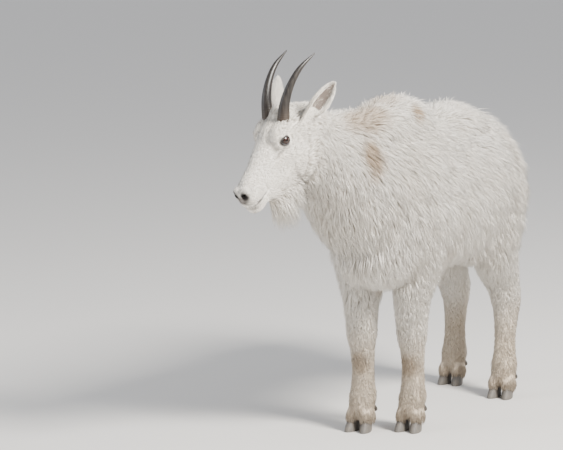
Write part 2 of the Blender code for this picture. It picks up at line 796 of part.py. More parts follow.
def nostril(side, home):
    """A comma-shaped pit, higher and wider at its outer end."""
    along, left, up = head_axes()
    slant = (left * side * 0.75 + up * 0.55 - along * 0.30).normalized()
    deep = slant.cross(left).normalized()
    return ellipsoid("nostril", on_head(0.2835, 0.0165 * side, 0.010), (0.0095, 0.0042, 0.0130), home,
                     (slant, slant.cross(deep), deep), 6)


def horn(side, name, grown, home):
    return loft(name, horn_rings(side, grown), home)


def ear(side, name, grown, home):
    return loft(name, ear_rings(side, grown), home)


def head_side(nearer):
    """A cutter for all that lies past the head's seam, brought nearer by that much."""
    return beyond_plane("head_seam", Vector(HEAD_AT) + head_ahead() * (HEAD_SEAM - nearer), head_ahead())


def neck_side(nearer):
    ahead = Vector(NECK_SEAM_WAY).normalized()
    return beyond_plane("neck_seam", Vector(NECK_SEAM_AT) - ahead * nearer, ahead)


def tail_side(grown):
    (low_x, low_y, low_z), (high_x, high_y, high_z) = TAIL_BOX
    return box_cutter("tail_box", (low_x - grown, low_y - grown, low_z - grown),
                      (high_x + grown, high_y, high_z + grown))


def spread_on(obj, count, wanted, random):
    """Evenly spread places on a skin: each is the one farthest from those already taken."""
    shape = bmesh.new()
    shape.from_mesh(obj.data)
    bmesh.ops.triangulate(shape, faces=shape.faces)
    corners = np.array([[v.co for v in face.verts] for face in shape.faces])
    normals = np.array([face.normal for face in shape.faces])
    shape.free()
    area = np.linalg.norm(np.cross(corners[:, 1] - corners[:, 0], corners[:, 2] - corners[:, 0]), axis=1)
    pick = random.choice(len(area), ROOT_CANDIDATES, p=area / area.sum())
    share = random.dirichlet((1, 1, 1), len(pick))
    places = (corners[pick] * share[:, :, None]).sum(axis=1)
    chosen = np.array([wanted(place, normal) for place, normal in zip(places, normals[pick])])
    places, ways = places[chosen], normals[pick][chosen]
    taken = [0]
    gap = np.linalg.norm(places - places[0], axis=1)
    while len(taken) < min(count, len(places)):
        taken.append(int(gap.argmax()))
        gap = np.minimum(gap, np.linalg.norm(places - places[taken[-1]], axis=1))
    return [(Vector(places[k]), Vector(ways[k])) for k in taken]


def lie_of_coat(place, out):
    """The way the hair runs on the skin: back along the trunk, down the sides, rump and legs."""
    back = 0.35 + 0.75 * max(out.z, 0.0) + 0.50 * max(-out.z, 0.0)
    back *= min(1.0, max(0.05, (0.36 - place.y) / 0.16)) * min(1.0, max(0.1, (place.z - 0.36) / 0.10))
    way = Vector((0.25 * math.copysign(max(out.z, 0.0), place.x), back, -1.0 + 0.5 * max(out.z, 0.0)))
    return (way - out * way.dot(out)).normalized()


def fall_away(place, out):
    """How fast the body curves down under a lock: most where its sides round off, and at the rump."""
    start, end = RUMP_EDGE
    over_rump = min(1.0, max(0.0, (place.y - start) / (end - start)))
    return max(out.z, 0.0) * max(1.0 - out.z, RUMP_TUCK * over_rump)


def lock(place, out, way, sizes, random, home):
    """A flat, tapered lock with a ridge: sunk at its root, it lifts off and bends down to its tip."""
    length, half, thick, stand = sizes
    length *= random.uniform(0.80, 1.20)
    half *= random.uniform(0.85, 1.15)
    stand *= random.uniform(0.75, 1.10)
    side = out.cross(way)
    way = (way + side * random.uniform(-0.22, 0.22)).normalized()
    bend = random.uniform(-0.10, 0.10)
    tuck = LOCK_TUCK * length * fall_away(place, out)
    sunk = thick + 0.006

    def middle(t):
        lift = -sunk + (sunk + stand) * (1.25 * t - 0.25 * t * t) - tuck * t * t
        droop = Vector((0.0, 0.0, -0.10 * length * t * t))
        return place + way * (length * (t - 0.15)) + side * (bend * length * t * t) + out * lift + droop

    rings = []
    for t, width, depth in LOCK:
        ahead = (middle(t + 0.02) - middle(t - 0.02)).normalized()
        across = ahead.cross(out).normalized()
        up = across.cross(ahead).normalized()
        centre, wide, deep = middle(t), half * width, thick * depth
        corners = (across * wide, up * deep, across * -wide)
        rings.append(np.array([centre + corner for corner in corners]))
    return loft("lock", rings, home, np.array(middle(1.0)))


def dress(obj, region, wanted, random):
    """Makes a region's locks, rooted on a skin, for the union that follows."""
    count, *sizes = LOCKS[region]
    home = bpy.data.collections["locks"]
    for place, out in spread_on(obj, count, wanted, random):
        lock(place, out, lie_of_coat(place, out), sizes, random, home)


def in_region(name):
    """A test for places that carry one region's locks."""
    ahead = Vector(NECK_SEAM_WAY).normalized()

    def test(place, out):
        place = Vector(place)
        past_neck = (place - Vector(NECK_SEAM_AT)).dot(ahead)
        past_head = (place - Vector(HEAD_AT)).dot(head_ahead())
        middle = CREST_LEAN * min(0.0, place.y - NECK[1][1])
        on_crest = abs(place.x - middle) < CREST_HALF_WIDTH and out[2] > 0.80
        if name == "crest":
            return on_crest and past_head < -0.055
        if on_crest:
            return False
        if name == "neck":
            return past_neck > 0 and past_head < -0.030
        if past_neck > 0 or place.z < LEG_COAT_FROM:
            return False
        on_tail = abs(place.x) < 0.030 and place.y > 0.455 and place.z > 0.62
        if name == "tail":
            return on_tail and out[1] > 0.1
        on_leg = place.z < LEG_COAT_UP_TO
        return on_leg and out[2] > -0.8 if name == "legs" else not on_leg and not on_tail

    return test


def build_body(home):
    """Melts the whole body, parts off the head and feet, dresses the rest in locks and parts it."""
    forms = bpy.data.collections["forms"]
    pieces = [torso_form(forms, COAT_SHARE), neck_form(forms, COAT_SHARE), head_form(forms, 1.0),
              tail_form(forms, COAT_SHARE)]
    pieces += head_swellings(forms, 1.0) + body_swellings(forms, COAT_SHARE)
    pieces += [leg_form(name, forms, COAT_SHARE, 1.0) for name in FEET]

    def softness(place):
        on_body = min(1.0, max(0.10, (place.z - 0.30) / 0.15))
        return on_body * min(1.0, max(0.20, (place.y + 0.70) / 0.12))

    trunk = fused("trunk", pieces, forms, TRUNK_VOXEL, 36, softness)
    made = [head_node(trunk, home)]
    made += [lower_leg(trunk, name, home) for name in FEET]
    thinned(trunk, TRUNK_TRIANGLES)
    random = np.random.default_rng(COAT_SEED)
    for region in LOCKS:
        dress(trunk, region, in_region(region), random)
    boolean(trunk, bpy.data.collections["locks"], "UNION")
    discard(*bpy.data.collections["locks"].objects)
    torso = copy_of(trunk, "torso", home)
    for cutter in (neck_side(KERF), tail_side(KERF), *(leg_region(name, "whole", KERF) for name in FEET)):
        boolean(torso, cutter, "DIFFERENCE")
    neck = copy_of(trunk, "neck", home)
    boolean(neck, neck_side(0.0), "INTERSECT")
    for cutter in (head_side(KERF / 2), ear(1, "socket", 2 * KERF, bpy.data.collections["cutters"]),
                   ear(-1, "socket", 2 * KERF, bpy.data.collections["cutters"])):
        boolean(neck, cutter, "DIFFERENCE")
    tail = copy_of(trunk, "tail", home)
    boolean(tail, tail_side(0.0), "INTERSECT")
    made += [torso, neck, tail]
    for name in FEET:
        upper = copy_of(trunk, "leg_" + name + "_upper", home)
        boolean(upper, leg_region(name, "upper", 0.0), "INTERSECT")
        made.append(upper)
    for piece in made:
        keep_largest(piece)
    discard(trunk)
    return made


def paint(objects, finish):
    for obj in objects:
        obj.data.materials.clear()
        obj.data.materials.append(finish)


def main():
    clear_scene()
    parts, forms, cutters, locks = (collection(n) for n in ("mountain_goat", "forms", "cutters", "locks"))
    coat = material("white_coat", (0.86, 0.84, 0.80), 0.9)
    horn_black = material("horn_black", (0.035, 0.032, 0.030), 0.45)
    hoof_grey = material("hoof_grey", (0.22, 0.22, 0.22), 0.6)
    eye_amber = material("eye_amber", (0.10, 0.045, 0.015), 0.08)
    flesh = build_body(parts)
    horny = []
    for name in FEET:
        leg = parts.objects["leg_" + name + "_lower"]
        for label, side, place, splay in toe_places(name):
            boolean(leg, hoof_form("hoof_socket", place, splay, KERF, cutters), "DIFFERENCE")
            boolean(leg, dewclaw_form("dewclaw_socket", name, side, KERF, cutters), "DIFFERENCE")
            horny.append(hoof_form("hoof_" + name + "_" + label, place, splay, 0.0, parts))
            horny.append(dewclaw_form("dewclaw_" + name + "_" + label, name, side, 0.0, parts))
        keep_largest(leg)
    paint(horny, hoof_grey)
    for side, label in ((1, "left"), (-1, "right")):
        flesh.append(ear(side, "ear_" + label, 0.0, parts))
        paint([horn(side, "horn_" + label, 0.0, parts)], horn_black)
        centre = on_head(EYE_AT[0], EYE_AT[1] * side, EYE_AT[2])
        paint([ellipsoid("eye_" + label, centre, (EYE_RADIUS,) * 3, parts, detail=EYE_STEPS)], eye_amber)
    paint(flesh, coat)
    discard(*forms.objects, *cutters.objects, *locks.objects)
    centre_on_floor(parts.objects)


def centre_on_floor(objects):
    """Moves the whole model so that the middle of its box stands over the origin."""
    corners = np.array([v.co for obj in objects for v in obj.data.vertices])
    low, high = corners.min(axis=0), corners.max(axis=0)
    shift = Vector((-(low[0] + high[0]) / 2, -(low[1] + high[1]) / 2, -low[2]))
    for obj in objects:
        obj.data.transform(Matrix.Translation(shift))


main()
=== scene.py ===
"""The looks of a life-size mountain goat nanny in summer coat, standing with her head turned to her right.

Metres, +Z up. She faces -Y and her left side is +X. One skin, melted from lofts, takes the place of
the flesh. The coat is solid tufts rooted on that skin, and every surface is worked out from named sizes.
"""

import math

import bmesh
import bpy
import numpy as np
from mathutils import Matrix, Vector
from mathutils.kdtree import KDTree


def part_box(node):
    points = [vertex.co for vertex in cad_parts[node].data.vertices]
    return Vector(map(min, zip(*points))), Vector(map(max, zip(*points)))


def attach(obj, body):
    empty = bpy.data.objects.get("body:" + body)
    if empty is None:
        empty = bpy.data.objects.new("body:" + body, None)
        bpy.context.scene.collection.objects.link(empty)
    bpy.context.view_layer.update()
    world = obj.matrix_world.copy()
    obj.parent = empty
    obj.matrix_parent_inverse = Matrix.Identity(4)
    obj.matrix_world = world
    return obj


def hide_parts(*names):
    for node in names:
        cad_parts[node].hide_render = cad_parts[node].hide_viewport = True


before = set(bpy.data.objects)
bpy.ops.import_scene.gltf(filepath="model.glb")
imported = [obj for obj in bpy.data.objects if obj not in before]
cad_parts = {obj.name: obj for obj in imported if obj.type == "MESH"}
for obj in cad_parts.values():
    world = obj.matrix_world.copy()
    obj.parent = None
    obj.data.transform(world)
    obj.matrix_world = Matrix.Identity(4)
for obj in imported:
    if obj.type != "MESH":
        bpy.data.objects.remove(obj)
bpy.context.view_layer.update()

# Where she stands.
# The head's own directions run along to the lips, to its left, and up out of its crown. The left eye's
# node tells how far the whole animal is shifted from the sizes given here.
HEAD_AT = np.array((-0.097, -0.679, 0.918))
HEAD_TURN = math.radians(26)
HEAD_DIP = math.radians(49)
HEAD_AHEAD = np.array((-math.sin(HEAD_TURN), -math.cos(HEAD_TURN), 0.0))
HEAD_ALONG = HEAD_AHEAD * math.cos(HEAD_DIP) + np.array((0.0, 0.0, -math.sin(HEAD_DIP)))
HEAD_LEFT = np.array((math.cos(HEAD_TURN), -math.sin(HEAD_TURN), 0.0))
HEAD_UP = np.cross(HEAD_ALONG, HEAD_LEFT)
HEAD_FRAME = np.stack((HEAD_ALONG, HEAD_LEFT, HEAD_UP))
EYE_AT = (0.107, 0.0430, 0.0190)


def on_head(along, left, up):
    """The head's place plus each distance times its own direction."""
    return HEAD_AT + np.array((along, left, up)) @ HEAD_FRAME


def off_head(points):
    """Distances along the head's own directions, the reverse of on_head."""
    return (points - HEAD_AT) @ HEAD_FRAME.T


SHIFT = sum(np.array(corner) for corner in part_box("eye_left")) / 2 - on_head(*EYE_AT)

# The skin under the coat.
# Hide over muscle and bone, built as lofts of ovals through listed stations, melted into one closed
# surface and softened. The coat hides most of it, and the face shows its bone and folds.
# Torso stations along Y: y, top, bottom, half width, narrowing of the back
TORSO = (
    (-0.430, 0.700, 0.540, 0.074, 0.10),
    (-0.390, 0.772, 0.490, 0.106, 0.20),
    (-0.330, 0.836, 0.452, 0.128, 0.34),
    (-0.262, 0.860, 0.440, 0.138, 0.44),
    (-0.150, 0.846, 0.442, 0.144, 0.40),
    (-0.030, 0.812, 0.450, 0.148, 0.28),
    (0.090, 0.808, 0.462, 0.148, 0.26),
    (0.190, 0.822, 0.478, 0.142, 0.30),
    (0.275, 0.806, 0.506, 0.132, 0.30),
    (0.345, 0.775, 0.535, 0.116, 0.24),
    (0.395, 0.732, 0.570, 0.092, 0.16),
    (0.428, 0.688, 0.606, 0.058, 0.10),
)
# Neck stations: x, y, z of the middle, half width, depth above and below it
NECK = (
    (0.000, -0.200, 0.660, 0.112, 0.180, 0.180),
    (-0.008, -0.330, 0.672, 0.118, 0.190, 0.180),
    (-0.030, -0.440, 0.700, 0.108, 0.178, 0.152),
    (-0.056, -0.535, 0.744, 0.088, 0.152, 0.112),
    (-0.080, -0.610, 0.790, 0.072, 0.116, 0.078),
    (-0.098, -0.670, 0.830, 0.060, 0.086, 0.060),
)
# Tail stations: y, z, half width, half depth
TAIL = (
    (0.376, 0.745, 0.018, 0.013),
    (0.424, 0.745, 0.018, 0.013),
    (0.462, 0.722, 0.017, 0.012),
    (0.482, 0.684, 0.014, 0.010),
    (0.488, 0.640, 0.008, 0.006),
)
# Head stations along its own axis, from poll to lips: along, top, bottom, half width
HEAD = (
    (-0.020, -0.008, -0.080, 0.042),
    (0.010, 0.014, -0.096, 0.050),
    (0.040, 0.036, -0.108, 0.053),
    (0.075, 0.053, -0.112, 0.052),
    (0.105, 0.054, -0.108, 0.048),
    (0.140, 0.046, -0.099, 0.043),
    (0.175, 0.037, -0.087, 0.038),
    (0.210, 0.029, -0.075, 0.035),
    (0.240, 0.025, -0.065, 0.034),
    (0.262, 0.020, -0.058, 0.033),
    (0.280, 0.012, -0.052, 0.029),
    (0.290, -0.002, -0.044, 0.018),
)
# Leg stations: height, share of the way from foot to hip, shift back, half width, half depth
FRONT_LEG = (
    (0.600, 0.80, 0.030, 0.040, 0.086),
    (0.540, 0.95, 0.025, 0.048, 0.088),
    (0.480, 0.90, 0.018, 0.047, 0.074),
    (0.400, 0.62, 0.008, 0.036, 0.050),
    (0.330, 0.42, 0.004, 0.031, 0.040),
    (0.270, 0.25, 0.006, 0.031, 0.036),
    (0.235, 0.18, 0.010, 0.027, 0.030),
    (0.180, 0.12, 0.015, 0.023, 0.026),
    (0.130, 0.06, 0.015, 0.024, 0.028),
    (0.100, 0.03, 0.015, 0.028, 0.033),
    (0.072, 0.00, 0.006, 0.028, 0.031),
    (0.048, 0.00, -0.004, 0.026, 0.030),
)
HIND_LEG = (
    (0.640, 0.70, 0.000, 0.042, 0.095),
    (0.570, 0.95, 0.000, 0.050, 0.112),
    (0.490, 0.86, -0.010, 0.048, 0.098),
    (0.420, 0.66, 0.006, 0.042, 0.068),
    (0.350, 0.48, 0.040, 0.034, 0.046),
    (0.285, 0.30, 0.056, 0.031, 0.042),
    (0.240, 0.20, 0.048, 0.027, 0.033),
    (0.180, 0.12, 0.034, 0.023, 0.027),
    (0.130, 0.06, 0.024, 0.024, 0.028),
    (0.100, 0.03, 0.018, 0.028, 0.033),
    (0.072, 0.00, 0.008, 0.028, 0.031),
    (0.048, 0.00, -0.002, 0.026, 0.030),
)
FEET = {
    "front_right": (-0.061, -0.338),
    "front_left": (0.064, -0.280),
    "hind_right": (-0.077, 0.392),
    "hind_left": (0.131, 0.262),
}
HIPS = {
    "front_right": (-0.081, -0.300),
    "front_left": (0.070, -0.296),
    "hind_right": (-0.086, 0.280),
    "hind_left": (0.088, 0.255),
}
# Swellings of the body: x, y, z, then the three radii; those off the middle are made on both sides
BODY_SWELLINGS = (
    (0.000, -0.352, 0.572, 0.100, 0.126, 0.136),
    (0.058, -0.288, 0.620, 0.072, 0.122, 0.180),
    (0.056, 0.250, 0.620, 0.070, 0.125, 0.150),
    (0.054, 0.170, 0.510, 0.070, 0.110, 0.080),
    (0.000, -0.310, 0.846, 0.046, 0.200, 0.050),
    (0.000, 0.100, 0.796, 0.068, 0.140, 0.048),
)
# Swellings of the head along its own directions: brow, orbit, cheek, muzzle side, nostril wing,
# chin and crown
HEAD_SWELLINGS = (
    (0.092, 0.033, 0.036, 0.034, 0.018, 0.017),
    (0.107, 0.036, 0.018, 0.027, 0.016, 0.022),
    (0.088, 0.030, -0.056, 0.062, 0.028, 0.056),
    (0.255, 0.018, -0.012, 0.034, 0.019, 0.026),
    (0.275, 0.014, 0.006, 0.016, 0.013, 0.015),
    (0.268, 0.000, -0.045, 0.028, 0.023, 0.018),
    (0.052, 0.000, 0.034, 0.036, 0.038, 0.022),
)
BODY_VOXEL = 0.0065
HEAD_VOXEL = 0.0021
UP = np.array((0.0, 0.0, 1.0))
WORLD = np.eye(3)


def smooth_rows(rows, count):
    """A table's rows read off a Catmull-Rom curve through them, at count even steps."""
    rows = np.array(rows, float)
    padded = np.vstack([2 * rows[0] - rows[1], rows, 2 * rows[-1] - rows[-2]])
    places = np.linspace(0, len(rows) - 1, count)
    start = np.minimum(places.astype(int), len(rows) - 2)
    t = (places - start)[:, None]
    a, b, c, d = (padded[start + k] for k in range(4))
    return 0.5 * (2 * b + (c - a) * t + (2 * a - 5 * b + 4 * c - d) * t**2 + (3 * b - a - 3 * c + d) * t**3)


def unit(vectors):
    return vectors / np.linalg.norm(vectors, axis=-1, keepdims=True)


def ovals(middles, side, up, half, rise, drop, steps, narrowing=0.0, squareness=0.9):
    """Rings round middles: side times half times a squared cosine, plus up times a squared sine that
    takes the rise above the middle and the drop below it. Narrowing thins the ring's upper half."""
    angle = np.linspace(0, 2 * math.pi, steps, endpoint=False)
    across = np.sign(np.cos(angle)) * np.abs(np.cos(angle)) ** squareness
    high = np.sign(np.sin(angle)) * np.abs(np.sin(angle)) ** squareness
    half, rise, drop, narrowing = (np.broadcast_to(v, len(middles))[:, None] for v in (half, rise, drop, narrowing))
    across = across * half * (1 - narrowing * np.maximum(high, 0))
    high = high * np.where(high > 0, rise, drop)
    side, up = (np.broadcast_to(v, np.shape(middles))[:, None] for v in (side, up))
    return middles[:, None] + across[..., None] * side + high[..., None] * up


def domed(rings, share=0.55):
    """The rings with a smaller one past each end, so that the loft closes as a dome."""
    middles = rings.mean(axis=1)
    first, last = unit(middles[0] - middles[1]), unit(middles[-1] - middles[-2])
    reach = 0.12 * np.ptp(rings, axis=1).max(axis=1)
    start = middles[0] + (rings[0] - middles[0]) * share + first * reach[0]
    end = middles[-1] + (rings[-1] - middles[-1]) * share + last * reach[-1]
    return np.concatenate([start[None], rings, end[None]])


def ball(middle, radii, axes, steps=24):
    """Rings of a stretched ball: sine and cosine of the angle down from its pole, on the three axes."""
    down = np.linspace(0.08, math.pi - 0.08, steps // 2)[:, None]
    round_ = np.linspace(0, 2 * math.pi, steps, endpoint=False)[None]
    local = np.stack(np.broadcast_arrays(np.sin(down) * np.cos(round_), np.sin(down) * np.sin(round_),
                                         np.cos(down)), axis=-1)
    return np.asarray(middle) + (local * np.asarray(radii)) @ np.asarray(axes)


def torso_rings():
    y, top, bottom, half, narrowing = smooth_rows(TORSO, 40).T
    middle = bottom + (top - bottom) * 0.46
    middles = np.stack((0 * y, y, middle), axis=1)
    return domed(ovals(middles, WORLD[0], UP, half, top - middle, middle - bottom, 40, narrowing))


def neck_rings():
    rows = smooth_rows(NECK, 24)
    ahead = np.gradient(rows[:, :3], axis=0)
    side = unit(np.cross(ahead, UP))
    up = unit(np.cross(side, ahead))
    return domed(ovals(rows[:, :3], side, up, rows[:, 3], rows[:, 4], rows[:, 5], 36, 0.2))


def head_rings():
    along, top, bottom, half = smooth_rows(HEAD, 48).T
    middle = bottom + (top - bottom) * 0.52
    middles = HEAD_AT + np.stack((along, 0 * along, middle), axis=1) @ HEAD_FRAME
    return domed(ovals(middles, HEAD_LEFT, HEAD_UP, half, top - middle, middle - bottom, 44, 0.18, 0.86))


def tail_rings():
    y, z, half, depth = smooth_rows(TAIL, 16).T
    middles = np.stack((0 * y, y, z), axis=1)
    up = unit(np.cross(WORLD[0], np.gradient(middles, axis=0)))
    return domed(ovals(middles, WORLD[0], up, half, depth, depth, 16))


def leg_line(name):
    """A leg's middle line and half sizes: each station leans from the foot towards the hip."""
    height, share, back, half, depth = np.array(FRONT_LEG if name.startswith("front") else HIND_LEG).T
    foot, hip = np.array(FEET[name]), np.array(HIPS[name])
    place = foot + (hip - foot) * share[:, None]
    return np.stack((place[:, 0], place[:, 1] + back, height, half, depth), axis=1)


def leg_rings(name):
    rows = smooth_rows(leg_line(name), 44)
    ahead = np.gradient(rows[:, :3], axis=0)
    fore = unit(np.cross(ahead, WORLD[0]))
    side = unit(np.cross(fore, ahead))
    return ovals(rows[:, :3], side, fore, rows[:, 3], rows[:, 4], rows[:, 4], 28)


TOE_SPREAD = 0.0185
TOE_SPLAY = math.radians(7)


def foot_shells(name):
    """The furred flesh over the two toes, and the heel behind them."""
    x, y = FEET[name]
    toes = [ball((x + side * (TOE_SPREAD + 0.001), y, 0.046), (0.0155, 0.033, 0.026), WORLD) for side in (1, -1)]
    return [*toes, ball((x, y + 0.022, 0.050), (0.022, 0.018, 0.021), WORLD)]


def paired(table, axes, origin):
    """A ball for each row of a table, and its mirror image where it is off the middle."""
    shells = []
    for *place, a, b, c in table:
        across = 0 if axes is WORLD else 1
        for sign in (1, -1) if place[across] else (1,):
            mirrored = np.array(place)
            mirrored[across] *= sign
            shells.append(ball(origin + mirrored @ axes, (a, b, c), axes, 28))
    return shells


def mesh_of(name, rings, home=None):
    """One closed surface: quads between neighbouring rings of each shell, and a fan over each end."""
    points, faces, start = [], [], 0
    for shell in rings if isinstance(rings, list) else [rings]:
        count, steps = shell.shape[:2]
        grid = start + np.arange(count * steps).reshape(count, steps)
        after = np.roll(grid, -1, axis=1)
        quads = np.stack((grid[:-1], after[:-1], after[1:], grid[1:]), axis=-1).reshape(-1, 4)
        first, last = start + count * steps, start + count * steps + 1
        fans = [(int(b), int(a), first) for a, b in zip(grid[0], after[0])]
        fans += [(int(a), int(b), last) for a, b in zip(grid[-1], after[-1])]
        faces += quads.tolist() + fans
        points += [shell.reshape(-1, 3), shell[0].mean(axis=0)[None], shell[-1].mean(axis=0)[None]]
        start = last + 1
    mesh = bpy.data.meshes.new(name)
    mesh.from_pydata((np.concatenate(points) + SHIFT).tolist(), [], faces)
    shape = bmesh.new()
    shape.from_mesh(mesh)
    bmesh.ops.recalc_face_normals(shape, faces=shape.faces)
    shape.to_mesh(mesh)
    shape.free()
    made = bpy.data.objects.new(name, mesh)
    bpy.context.scene.collection.objects.link(made)
    return made


def points_of(mesh):
    """A mesh's points as an array, in the animal's own unshifted sizes."""
    flat = np.empty(len(mesh.vertices) * 3, np.float32)
    mesh.vertices.foreach_get("co", flat)
    return flat.reshape(-1, 3).astype(float) - SHIFT


def set_points(mesh, points):
    mesh.vertices.foreach_set("co", (points + SHIFT).astype(np.float32).ravel())
    mesh.update()


def settle(obj):
    """Applies an object's modifiers."""
    graph = bpy.context.evaluated_depsgraph_get()
    mesh = bpy.data.meshes.new_from_object(obj.evaluated_get(graph))
    obj.modifiers.clear()
    obj.data = mesh


def melt(obj, voxel, passes, softness=None):
    """Remeshes overlapping shells into one skin, then softens each point by the share given for it."""
    remesh = obj.modifiers.new("remesh", "REMESH")
    remesh.mode = "VOXEL"
    remesh.voxel_size = voxel
    settle(obj)
    soften = obj.modifiers.new("soften", "SMOOTH")
    soften.factor = 0.5
    soften.iterations = passes
    if softness is not None:
        group = obj.vertex_groups.new(name="soft")
        shares = np.round(softness(points_of(obj.data)), 2)
        for share in np.unique(shares):
            group.add(np.nonzero(shares == share)[0].tolist(), float(share), "REPLACE")
        soften.vertex_group = "soft"
    settle(obj)
    obj.vertex_groups.clear()


def boolean(obj, cutter, operation):
    """Cuts or joins by another closed mesh, which is then removed."""
    step = obj.modifiers.new(operation.lower(), "BOOLEAN")
    step.operation = operation
    step.solver = "MANIFOLD"
    step.object = cutter
    settle(obj)
    bpy.data.objects.remove(cutter)


def ramp(x, low, high):
    """0 below low, 1 above high, and 3t^2 - 2t^3 between."""
    t = np.clip((x - low) / (high - low), 0, 1)
    return t * t * (3 - 2 * t)


def body_softness(points):
    return np.clip((points[:, 2] - 0.28) / 0.16, 0.06, 1) * np.clip((points[:, 1] + 0.70) / 0.12, 0.2, 1)


def past_head(points):
    """How far a point lies ahead of the head's seam with the neck."""
    return (points - HEAD_AT) @ HEAD_AHEAD


def beyond_head(reach):
    """A large block ahead of the head's seam, from that distance on."""
    block = ball(HEAD_AT + HEAD_AHEAD * (reach + 0.6), (0.9, 0.9, 0.6 / math.cos(0.08)),
                 (HEAD_LEFT, UP, HEAD_AHEAD), 40)
    flat = (block - HEAD_AT) @ HEAD_AHEAD
    away = block - flat[..., None] * HEAD_AHEAD - HEAD_AT
    spread = away / np.maximum(np.linalg.norm(away, axis=-1, keepdims=True), 1e-6) * 0.9
    rows = np.array((reach, reach + 0.6))
    return mesh_of("block", HEAD_AT + spread[19][None] + rows[:, None, None] * HEAD_AHEAD)


shells = [torso_rings(), neck_rings(), head_rings(), tail_rings()]
shells += paired(BODY_SWELLINGS, WORLD, np.zeros(3)) + paired(HEAD_SWELLINGS, HEAD_FRAME, HEAD_AT)
for leg in FEET:
    shells += [leg_rings(leg), *foot_shells(leg)]
skin = mesh_of("skin", shells)
melt(skin, BODY_VOXEL, 70, body_softness)

# The face's bone and folds.
# The head is melted again at a finer grain, pressed in and drawn out by listed dents with soft edges,
# and cut open for the eyes, the mouth and the nostrils. It then joins the body's skin.
EYE_RADIUS = 0.0155
LID_THICKNESS = 0.0022
EYE_OPENING = (0.0148, 0.0098)
EYE_TILT = math.radians(30)
MOUTH_LINE = ((0.325, -0.004), (0.295, -0.019), (0.270, -0.027), (0.245, -0.033), (0.228, -0.031))
# Dents and swells of the face: along, left, up, three radii, then how far the skin moves out
FACE_MOVES = (
    (0.150, 0.040, 0.020, 0.034, 0.014, 0.012, -0.0040),
    (0.128, 0.050, 0.002, 0.016, 0.012, 0.010, -0.0022),
    (0.070, 0.052, 0.026, 0.022, 0.016, 0.018, -0.0035),
    (0.100, 0.050, -0.030, 0.060, 0.020, 0.010, 0.0030),
    (0.172, 0.040, -0.022, 0.034, 0.014, 0.016, -0.0040),
    (0.200, 0.020, 0.032, 0.060, 0.010, 0.012, 0.0020),
    (0.232, 0.036, -0.020, 0.007, 0.016, 0.026, -0.0034),
    (0.262, 0.030, -0.006, 0.022, 0.014, 0.014, 0.0030),
    (0.262, 0.024, -0.046, 0.020, 0.014, 0.012, 0.0020),
    (0.245, 0.030, -0.050, 0.010, 0.014, 0.018, -0.0025),
    (0.120, 0.048, 0.040, 0.026, 0.014, 0.008, 0.0028),
    (0.290, 0.000, -0.006, 0.014, 0.0030, 0.020, -0.0026),
    (0.135, 0.000, 0.050, 0.050, 0.010, 0.020, -0.0018),
)
NOSTRIL = (0.2850, 0.0165, 0.008)


def pressed(local, moves, outward):
    """Each point moves out by the sum, over all dents, of its depth times exp(-2 times the square of
    the distance in dent radii). A dent off the middle works on both sides."""
    folded = local * np.array((1, 0, 1)) + np.abs(local) * np.array((0, 1, 0))
    total = 0.0
    for *place, a, b, c, out in moves:
        away = (folded - np.array(place)) / np.array((a, b, c))
        total = total + out * np.exp(-2 * (away**2).sum(axis=1))
    return local + outward * total[:, None]


def normals_of(mesh):
    flat = np.empty(len(mesh.vertices) * 3, np.float32)
    mesh.vertices.foreach_get("normal", flat)
    return flat.reshape(-1, 3).astype(float)


def eye_axes(side):
    """The eye opening's own directions: along its length, up across it, and out of the eye."""
    wide = HEAD_ALONG * math.cos(EYE_TILT) + HEAD_UP * math.sin(EYE_TILT)
    high = HEAD_UP * math.cos(EYE_TILT) - HEAD_ALONG * math.sin(EYE_TILT)
    return np.stack((wide, high, HEAD_LEFT * side))


def almond(scale=1.0, steps=64):
    """A closed line: cosine and sine times the two half sizes, pinched at the corners."""
    angle = np.linspace(0, 2 * math.pi, steps, endpoint=False)
    wide = np.cos(angle) * EYE_OPENING[0] * scale
    high = np.sin(angle) * EYE_OPENING[1] * scale * (1 - 0.35 * np.cos(angle) ** 2)
    return np.stack((wide, high), axis=1)


def eye_cut(side):
    """An almond prism, opening outward from the middle of the eye."""
    line = almond()
    middle = on_head(EYE_AT[0], EYE_AT[1] * side, EYE_AT[2])
    depth = np.array((0.0, 0.040))
    local = np.concatenate([np.broadcast_to(line, (2, *line.shape)) * np.array((1.0, 1.25))[:, None, None],
                            np.broadcast_to(depth[:, None, None], (2, len(line), 1))], axis=-1)
    return mesh_of("eye_cut", middle + local @ eye_axes(side))


def mouth_cut():
    """A thin bent plate between the lips, thickest in front and closing towards the corners."""
    line = smooth_rows(MOUTH_LINE, 24)
    thick = np.interp(line[:, 0], (0.228, 0.245, 0.275, 0.30), (0.0006, 0.0016, 0.0030, 0.0034))
    loop = np.concatenate([line + np.stack((0 * thick, thick / 2), axis=1),
                           (line - np.stack((0 * thick, thick / 2), axis=1))[::-1]])
    rings = [HEAD_AT + np.stack((loop[:, 0], np.full(len(loop), side), loop[:, 1]), axis=1) @ HEAD_FRAME
             for side in (-0.05, 0.05)]
    return mesh_of("mouth_cut", np.array(rings))


def nostril_cut(side):
    """A comma-shaped pit: a stretched ball that slants down to the lip, with a rounder hole inside."""
    slant = unit(HEAD_LEFT * side * 0.75 + HEAD_UP * 0.55 - HEAD_ALONG * 0.30)
    deep = unit(np.cross(slant, HEAD_LEFT))
    axes = np.stack((slant, np.cross(slant, deep), deep))
    return mesh_of("nostril_cut", ball(on_head(NOSTRIL[0], NOSTRIL[1] * side, NOSTRIL[2]),
                                       (0.0098, 0.0046, 0.0130), axes, 32))


